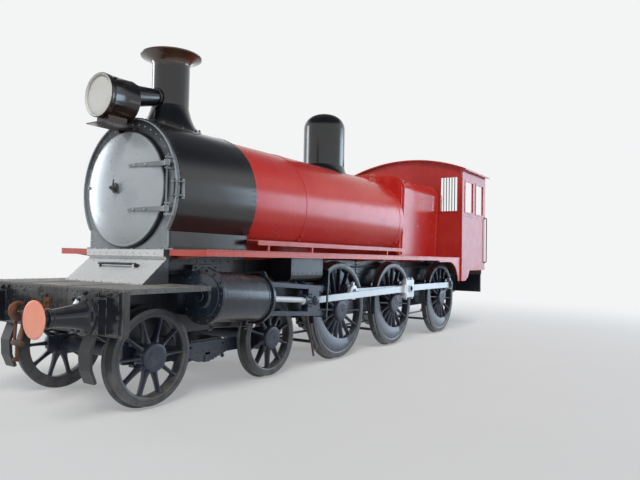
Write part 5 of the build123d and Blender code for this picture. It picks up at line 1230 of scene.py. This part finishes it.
cab += both(swept(level_line(np.linspace(-8.178, -9.982, 10), 1.463, 3.690), 0.007, 0.018, 3, 8))
cab += both(swept(level_line(np.linspace(-8.26, -9.89, 6), 1.375, 3.712), 0.016, 0.016, 4, 8))
piece("cab_trim", cab, SHADED_RED)

rails = []
RAIL_X = -9.87
bow = np.radians(np.linspace(0, 90, 6))
rail = np.concatenate([[(RAIL_X, 1.380, 1.590)], np.stack([0 * bow + RAIL_X, 1.400 + 0.035 * np.sin(bow),
    1.625 - 0.035 * np.cos(bow)], 1), np.stack([0 * bow + RAIL_X, 1.400 + 0.035 * np.cos(bow),
    2.655 + 0.035 * np.sin(bow)], 1), [(RAIL_X, 1.380, 2.690)]])
rails += both(swept(rail, 0.0125, None, 2, 12, AHEAD))
rails += both(copies(stub([(-0.002, 0), (-0.002, 0.030), (0.006, 0.030), (0.008, 0.026), (0.008, 0)], 20),
    [(RAIL_X, CAB_SIDE, 1.590), (RAIL_X, CAB_SIDE, 2.690)], OUT))
piece("cab_hand_rails", rails, FRAME_BLACK)

seats = []
seats += both(brick((-9.760, -9.320), (0.955, 1.345), (1.690, 2.130), 0.008))
seats += both(brick((-9.775, -9.305), (0.935, 1.352), (2.130, 2.165), 0.010))
seats += both(brick((-9.720, -9.360), (0.948, 0.957), (1.740, 2.080), 0.004))
for y in np.arange(-1.26, 1.30, 0.18):
    seats.append(brick((-9.890, -8.640), (y - 0.086, y + 0.086), (1.684, 1.694), 0.003))
piece("cab_seats_and_boards", seats, FLOOR_BOARDS)

seat_outline = [(-9.755, 0.960), (-9.325, 0.960), (-9.325, 1.340), (-9.755, 1.340)]
cushions = both(slab(seat_outline, 2.160, 2.215, "xy", 0.018))
piece("cab_cushions", cushions, RUSTY)

BACKHEAD_FACE = -8.550
back = []
for y, z in ((-0.640, 2.00), (0.640, 2.00), (-0.640, 2.55), (0.640, 2.55), (-0.34, 1.80), (0.34, 1.80)):
    back.append(turned([(0.004, 0), (0.004, 0.030), (-0.006, 0.032), (-0.012, 0.026), (-0.012, 0)],
        (BACKHEAD_FACE, y, z), AHEAD, 20))
    back.append(turned([(-0.008, 0), (-0.008, 0.016), (-0.030, 0.015), (-0.030, 0)],
        (BACKHEAD_FACE, y, z), AHEAD, 4))
path, out = crown_line(0.770, 3.370, 0.250, 22)
inner = evenly(path, out, 0.06, 26)[0]
back += both(rivets(0.010, set_at(BACKHEAD_FACE + 0.0005, inner), (-1, 0, 0)))
piece("backhead_plugs", back, FRAME_BLACK)

brass = []
wheel_ring = [(0.031 + 0.006 * math.cos(a), 0.006 * math.sin(a))
    for a in np.linspace(0, TURN, 10, endpoint=False)]
for y, z in ((-0.250, 3.130), (0.250, 3.130), (-0.330, 2.560), (0.330, 2.560), (-0.330, 2.860),
    (0.330, 2.860)):
    x = BACKHEAD_FACE - 0.130
    brass.append(turned([(s, r) for r, s in wheel_ring], (x, y, z), AHEAD, 28, closed=True))
    brass.append(turned([(0.085, 0), (0.085, 0.008), (-0.008, 0.008), (-0.012, 0.005), (-0.012, 0)],
        (x, y, z), AHEAD, 12))
    for a in range(3):
        ray = np.array([0, math.cos(a * math.pi / 3), math.sin(a * math.pi / 3)]) * 0.031
        brass.append(swept([np.array([x, y, z]) - ray, np.array([x, y, z]) + ray], 0.0035, None, 2, 8, AHEAD))
bezel = [(0.0, 0.070), (0.0, 0.097), (-0.010, 0.100), (-0.018, 0.097), (-0.022, 0.088), (-0.018, 0.083),
    (-0.010, 0.082)]
brass.append(turned(bezel, (BACKHEAD_FACE - 0.056, 0.560, 2.880), AHEAD, 48, closed=True))
knob = [(-0.040, 0), (-0.036, 0.014), (-0.022, 0.022), (0.0, 0.024), (0.022, 0.022),
    (0.036, 0.014), (0.040, 0)]
brass.append(turned(knob, (BACKHEAD_FACE - 0.062, 0.315, 2.960), OUT, 20))
for way in (-1, 1):
    curve = bezier((BACKHEAD_FACE - 0.052, way * 0.330, 3.130), (BACKHEAD_FACE - 0.060, way * 0.760, 3.160),
        (BACKHEAD_FACE - 0.050, way * 0.700, 2.500), (BACKHEAD_FACE - 0.050, way * 0.715, 1.700), 30)
    brass.append(swept(curve, 0.016, None, 2, 12, AHEAD))
    union = [(-0.020, 0.014), (-0.020, 0.024), (-0.016, 0.027), (0.016, 0.027), (0.020, 0.024),
        (0.020, 0.014)]
    brass.append(turned(union, curve[18], unit(curve[19] - curve[17]), 6, closed=True))
piece("backhead_brass", brass, BRASS)
dial = [(0.0, 0), (0.0, 0.084), (-0.006, 0.084), (-0.008, 0.080), (-0.009, 0)]
piece("gauge_face", [turned(dial, (BACKHEAD_FACE - 0.058, 0.560, 2.880), AHEAD, 40)], LENS_RIM)


# Frames, bogie, sand and brake gear

iron = []
for x in AXLES:
    for side_x in (-0.182, 0.182):
        iron += both(brick((x + side_x - 0.026, x + side_x + 0.026), (0.634, 0.652), (0.600, 0.985), 0.004))
        iron += both(nuts(0.012, row((x + side_x, 0.652, 0.635), (x + side_x, 0.652, 0.950), 5), OUT))
    iron += both(turned([(0.655, 0), (0.655, 0.060), (0.662, 0.062), (0.668, 0.056), (0.668, 0)],
        (x, 0, 0.910), OUT, 28))
for x in (-6.9, -7.05, -4.72, -4.88):
    iron += both(rivets(0.012, row((x, FRAME_FACE, 0.75), (x, FRAME_FACE, 1.52), 9), OUT))
top_x = np.arange(-0.42, -9.1, -0.19)
iron += both(rivets(0.010, level_line(top_x, FRAME_FACE, 1.548), OUT))
low_x = np.arange(0.56, -0.30, -0.12)
iron += both(rivets(0.010, level_line(low_x, FRAME_FACE, 1.150), OUT))
iron += both(brick((-1.130, -0.690), (0.634, 0.735), (1.440, 1.512), 0.008))
iron += both(nuts(0.013, row((-0.74, 0.735, 1.476), (-1.08, 0.735, 1.476), 4), OUT))
iron += both(brick((-1.560, -0.400), (0.634, 0.646), (1.290, 1.575), 0.004))
iron += both(rivets(0.011, box_lines((-0.43, -1.53), (1.320, 1.550), 0.646, 0.13), OUT))
frame_pipe = [(-0.36, 0.668, 1.405), (-0.8, 0.668, 1.405), (-1.3, 0.668, 1.402), (-1.75, 0.670, 1.398),
    (-2.0, 0.700, 1.405), (-2.06, 0.720, 1.422)]
iron += both(swept(frame_pipe, 0.014, None, 2, 10))
iron += both(nuts(0.014, [(x, 0.735, 1.105) for x in (0.68, 0.72)], OUT))
for x in (-4.810, -6.700, -3.080, -1.760):
    iron += both(brick((x - 0.045, x + 0.045), (0.634, 0.644), (1.30, 1.57), 0.003))
    iron += both(nuts(0.011,
        [(x - 0.028, 0.644, z) for z in (1.35, 1.52)] + [(x + 0.028, 0.644, z) for z in (1.35, 1.52)], OUT))
pipe_x = np.linspace(-3.4, -9.1, 30)
iron += both(swept(np.stack([pipe_x, 0 * pipe_x + 0.660, 1.475 + 0.01 * np.sin(pipe_x * 2.0)], 1), 0.017,
    None, 2, 10))
piece("frame_fittings", iron, FRAME_BLACK)

bright = [(-2.050, 0.716, 1.425), (-2.075, 0.722, 1.400), (-2.120, 0.724, 1.345), (-2.178, 0.722, 1.282),
    (-2.20, 0.715, 1.240)]
piece("feed_pipe", both(swept(bright, 0.010, None, 2, 10, AHEAD)), ROD_SILVER)

boxes = []
curve = bezier((-2.700, 0.930, 1.300), (-2.720, 0.930, 0.900), (-2.900, 0.930, 0.600),
    (-3.070, 0.895, 0.130), 26)
boxes += both(swept(curve, 0.017, None, 2, 12, OUT))
boxes += both(turned([(1.262, 0), (1.262, 0.034), (1.282, 0.036), (1.300, 0.050), (1.300, 0)],
    (-2.700, 0.930, 0), UP, 24))
boxes += both(rivets(0.009, box_lines((-2.150, -2.850), (1.400, 1.640), 1.150, 0.115), OUT))
boxes += both(rivets(0.009, row((-2.1095, 0.86, 1.64), (-2.1095, 1.09, 1.64), 4), AHEAD))
piece("sand_gear", boxes, CYLINDER_BLACK)

gear = []
for axle in AXLES:
    for x, z in ((axle + 0.852, 1.150), (axle + 0.732, 0.337)):
        gear += both(turned([(0.846, 0), (0.846, 0.040), (0.856, 0.042), (0.870, 0.038), (0.876, 0.024),
            (0.876, 0)], (x, 0, z), OUT, 24))
    for end in (-0.400, 0.400):
        gear += both(nuts(0.030, [(axle + end, 0.6175, 0.498)], (0, 0, -1)))
        gear += both(brick((axle + end - 0.040, axle + end + 0.040), (0.590, 0.655), (0.485, 0.512), 0.005))
pull = np.stack([np.linspace(-3.088, -9.2, 24), np.zeros(24),
    0.337 - 0.02 * np.sin(np.linspace(0, math.pi, 24))], 1)
gear.append(swept(pull, 0.020, None, 2, 12))
for axle in AXLES:
    gear.append(brick((axle + 0.690, axle + 0.780), (-0.036, 0.036), (0.295, 0.372), 0.008))
piece("brake_fittings", gear, FRAME_BLACK)

truck = []
plate_x = np.arange(-0.62, -1.45, -0.105)
truck += both(rivets(0.011, level_line(plate_x, 0.700, 0.575), OUT))
truck += both(rivets(0.011, level_line(plate_x, 0.700, 0.447), OUT))
for n, half in enumerate((0.330, 0.280, 0.230, 0.180, 0.130)):
    truck += both(brick((-1.010 - half, -1.010 + half), (0.616, 0.688),
        (0.404 - 0.0165 * (n + 1), 0.4035 - 0.0165 * n), 0.002))
truck += both(brick((-1.055, -0.965), (0.604, 0.700), (0.310, 0.432), 0.006))
for x in (-0.700, -1.320):
    truck += both(turned([(0.345, 0), (0.345, 0.018), (0.440, 0.018), (0.440, 0)], (x, 0.652, 0), UP, 14))
    truck += both(nuts(0.026, [(x, 0.652, 0.352)], (0, 0, -1)))
    truck += both(nuts(0.018, [(x - 0.03, 0.700, 0.51), (x + 0.03, 0.700, 0.51)], OUT))
piece("bogie_fittings", truck, WHEEL_BLACK, body="bogie")

PIN_X = -9.870
drag = []
drag += both(rivets(0.014,
    box_lines((0.30, 1.22), (0.90, 1.24), 0.0, 0.12)[:, [1, 0, 2]] + [-10.0005, 0, 0], (-1, 0, 0)))
drag.append(turned([(0.90, 0), (0.90, 0.040), (1.292, 0.040), (1.292, 0.070), (1.304, 0.072), (1.314, 0.064),
    (1.318, 0.030), (1.318, 0)], (PIN_X, 0, 0), UP, 28))
drag += both(turned([(-9.998, 0), (-9.998, 0.085), (-10.020, 0.085), (-10.030, 0.078), (-10.034, 0.060),
    (-10.034, 0)], (0, 0.52, BUFFER_Z), AHEAD, 36))
drag += both(swept([(-9.95, 0.30, 0.86), (-10.02, 0.30, 0.82), (-10.06, 0.30, 0.74), (-10.06, 0.30, 0.60)],
    0.026, None, 2, 12, OUT))
piece("drag_box_fittings", drag, FRAME_BLACK)

saddle_bits = []
saddle_bits += both(rivets(0.011,
    row((0.012, 0.7205, 1.320), (-0.262, 0.7205, 1.585), 5) - [0.045, 0, 0], OUT))
saddle_bits.append(nuts(0.012, row((0.0305, -0.66, 1.296), (0.0305, 0.66, 1.296), 9) + [0.004, 0, 0.002], UP))
saddle_bits.append(rivets(0.011, row((-0.2495, -0.69, 1.645), (-0.2495, 0.69, 1.645), 12), AHEAD))
saddle_bits += both(nuts(0.012, [(-0.285, y, 1.685) for y in (0.12, 0.36, 0.60)], UP))
piece("saddle_fittings", saddle_bits, SUNLIT_APRON_SILVER)

foot = np.array([(-0.196, 0.356, 1.492), (-0.180, 0.354, 1.500), (-0.162, 0.350, 1.509),
    (-0.152, 0.338, 1.5115), (-0.150, 0.300, 1.5115)])
rail = np.concatenate([foot * [1, -1, 1],
    row((-0.150, -0.240, 1.5115), (-0.150, 0.240, 1.5115), 5), foot[::-1]])
grab = [swept(rail, 0.0150, None, 2, 12, (1, 0, 0.8))]
grab += both(copies(stub([(-0.006, 0), (-0.006, 0.030), (0.004, 0.030), (0.008, 0.024), (0.008, 0)], 20),
    [(-0.188, 0.354, 1.487)], (0.645, 0, 0.764)))
for y in (-0.325, 0.325):
    grab.append(swept([(-0.150, y, 1.5115), (-0.168, y, 1.492), (-0.186, y, 1.474)], 0.0135, None,
        2, 10, OUT))
piece("apron_grab_rail", grab, FRAME_BLACK)


# Floor, light and camera

PALE = (0.90, 0.905, 0.91, 1)


def seen_ray(tree):
    """One for the rays that show the background: the camera's, and those off or through a gloss."""
    path = node(tree, "ShaderNodeLightPath").outputs
    total = plus(tree, plus(tree, path["Is Camera Ray"], path["Is Glossy Ray"]), path["Is Transmission Ray"])
    return maths(tree, "MINIMUM", total, 1.0)


floor = bpy.data.objects.new("floor", bpy.data.meshes.new("floor"))
floor.data.from_pydata([(-90, -90, 0), (90, -90, 0), (90, 90, 0), (-90, 90, 0)], [], [(0, 1, 2, 3)])
bpy.context.scene.collection.objects.link(floor)
floor_paint = bpy.data.materials.new("pale_floor")
floor_paint.use_nodes = True
floor_tree = floor_paint.node_tree
floor_tone = mixed(floor_tree, noise(floor_tree, stretched(floor_tree, (1, 1, 1)), 0.8, 3.0),
    (0.74, 0.735, 0.72, 1), (0.78, 0.775, 0.76, 1))
floor_shader = floor_tree.nodes["Principled BSDF"]
floor_tree.links.new(floor_tone, floor_shader.inputs["Base Color"])
floor_shader.inputs["Roughness"].default_value = 0.9
reach = node(floor_tree, "ShaderNodeVectorMath", {0: own_place(floor_tree)},
    operation="LENGTH").outputs["Value"]
pale = plus(floor_tree, 0.30, times(floor_tree, band(floor_tree, reach, 7.0, 17.0), 0.70))
floor_glow = node(floor_tree, "ShaderNodeEmission", {"Color": PALE, "Strength": 1.0})
blend = node(floor_tree, "ShaderNodeMixShader",
    {0: times(floor_tree, pale, seen_ray(floor_tree)), 1: floor_shader.outputs[0], 2: floor_glow.outputs[0]})
floor_tree.links.new(blend.outputs[0], floor_tree.nodes["Material Output"].inputs["Surface"])
floor.data.materials.append(floor_paint)
floor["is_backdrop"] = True

world = bpy.data.worlds.new("studio")
bpy.context.scene.world = world
world.use_nodes = True
sky = world.node_tree
for old in list(sky.nodes):
    sky.nodes.remove(old)
direction = node(sky, "ShaderNodeTexCoord").outputs["Generated"]
up = node(sky, "ShaderNodeSeparateXYZ", {0: direction}).outputs["Z"]
tone = mixed(sky, band(sky, up, 0.06, 0.42), (0.80, 0.84, 0.90, 1), (0.13, 0.14, 0.16, 1))
background = mixed(sky, band(sky, up, 0.43, 0.66), PALE, (0.10, 0.105, 0.12, 1))
seen = node(sky, "ShaderNodeBackground", {"Color": background, "Strength": 1.0})
lit = node(sky, "ShaderNodeBackground", {"Color": tone, "Strength": 0.9})
choice = node(sky, "ShaderNodeMixShader", {0: seen_ray(sky), 1: lit.outputs[0], 2: seen.outputs[0]})
sky.links.new(choice.outputs[0], node(sky, "ShaderNodeOutputWorld").inputs["Surface"])


def lamp(name, kind, place, toward, **settings):
    """A lamp that stands at a place and shines along the given direction."""
    made = bpy.data.objects.new(name, bpy.data.lights.new(name, kind))
    for key, value in settings.items():
        setattr(made.data, key, value)
    made.location = place
    made.rotation_mode = "QUATERNION"
    made.rotation_quaternion = Vector(toward).to_track_quat("-Z", "Y")
    made.visible_camera = False
    bpy.context.scene.collection.objects.link(made)
    return made


def panel(name, bearing, distance, low, high, width, glow, colour):
    """A soft box: an upright bright panel at a bearing from the engine, as bright as glow."""
    a = math.radians(bearing)
    place = (distance * math.cos(a), distance * math.sin(a), (low + high) / 2)
    watts = glow * math.pi * width * (high - low)
    lamp(name, "AREA", place, (-math.cos(a), -math.sin(a), 0), shape="RECTANGLE", size=width,
        size_y=high - low, energy=watts, color=colour)


lamp("key_light", "SUN", (0, 0, 20), (-0.60, -0.38, -0.75), energy=2.0, angle=math.radians(24),
    color=(1.0, 0.985, 0.96)).visible_glossy = False
panel("right_box", -72, 18, 1.0, 10.0, 5.0, 7.0, (0.86, 0.93, 1.0))
panel("rear_left_box", 149, 22, 0.3, 9.0, 12.0, 4.6, (0.58, 0.79, 1.0))
panel("left_box", 88, 20, 0.5, 3.6, 22.0, 1.2, (0.88, 0.94, 1.0))
panel("rear_box", 200, 22, 0.5, 6.0, 12.0, 1.4, (0.92, 0.96, 1.0))

camera = bpy.data.objects.new("camera", bpy.data.cameras.new("camera"))
forward = Vector((-0.8332, -0.5521, 0.0322))
level = forward.cross(Vector(UP)).normalized()
upright = level.cross(forward).normalized()
roll = math.radians(-1.068)
image_right = (level * math.cos(roll) - upright * math.sin(roll)).normalized()
image_up = image_right.cross(forward).normalized()
camera.matrix_world = Matrix((
    (image_right.x, image_up.x, -forward.x, 8.421),
    (image_right.y, image_up.y, -forward.y, 5.723),
    (image_right.z, image_up.z, -forward.z, 1.647),
    (0, 0, 0, 1),
))
camera.data.sensor_fit = "HORIZONTAL"
camera.data.sensor_width = 36.0
camera.data.lens = 31.68
camera.data.clip_end = 400
bpy.context.scene.collection.objects.link(camera)
bpy.context.scene.camera = camera
bpy.context.scene.view_settings.view_transform = "Standard"

low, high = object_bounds()
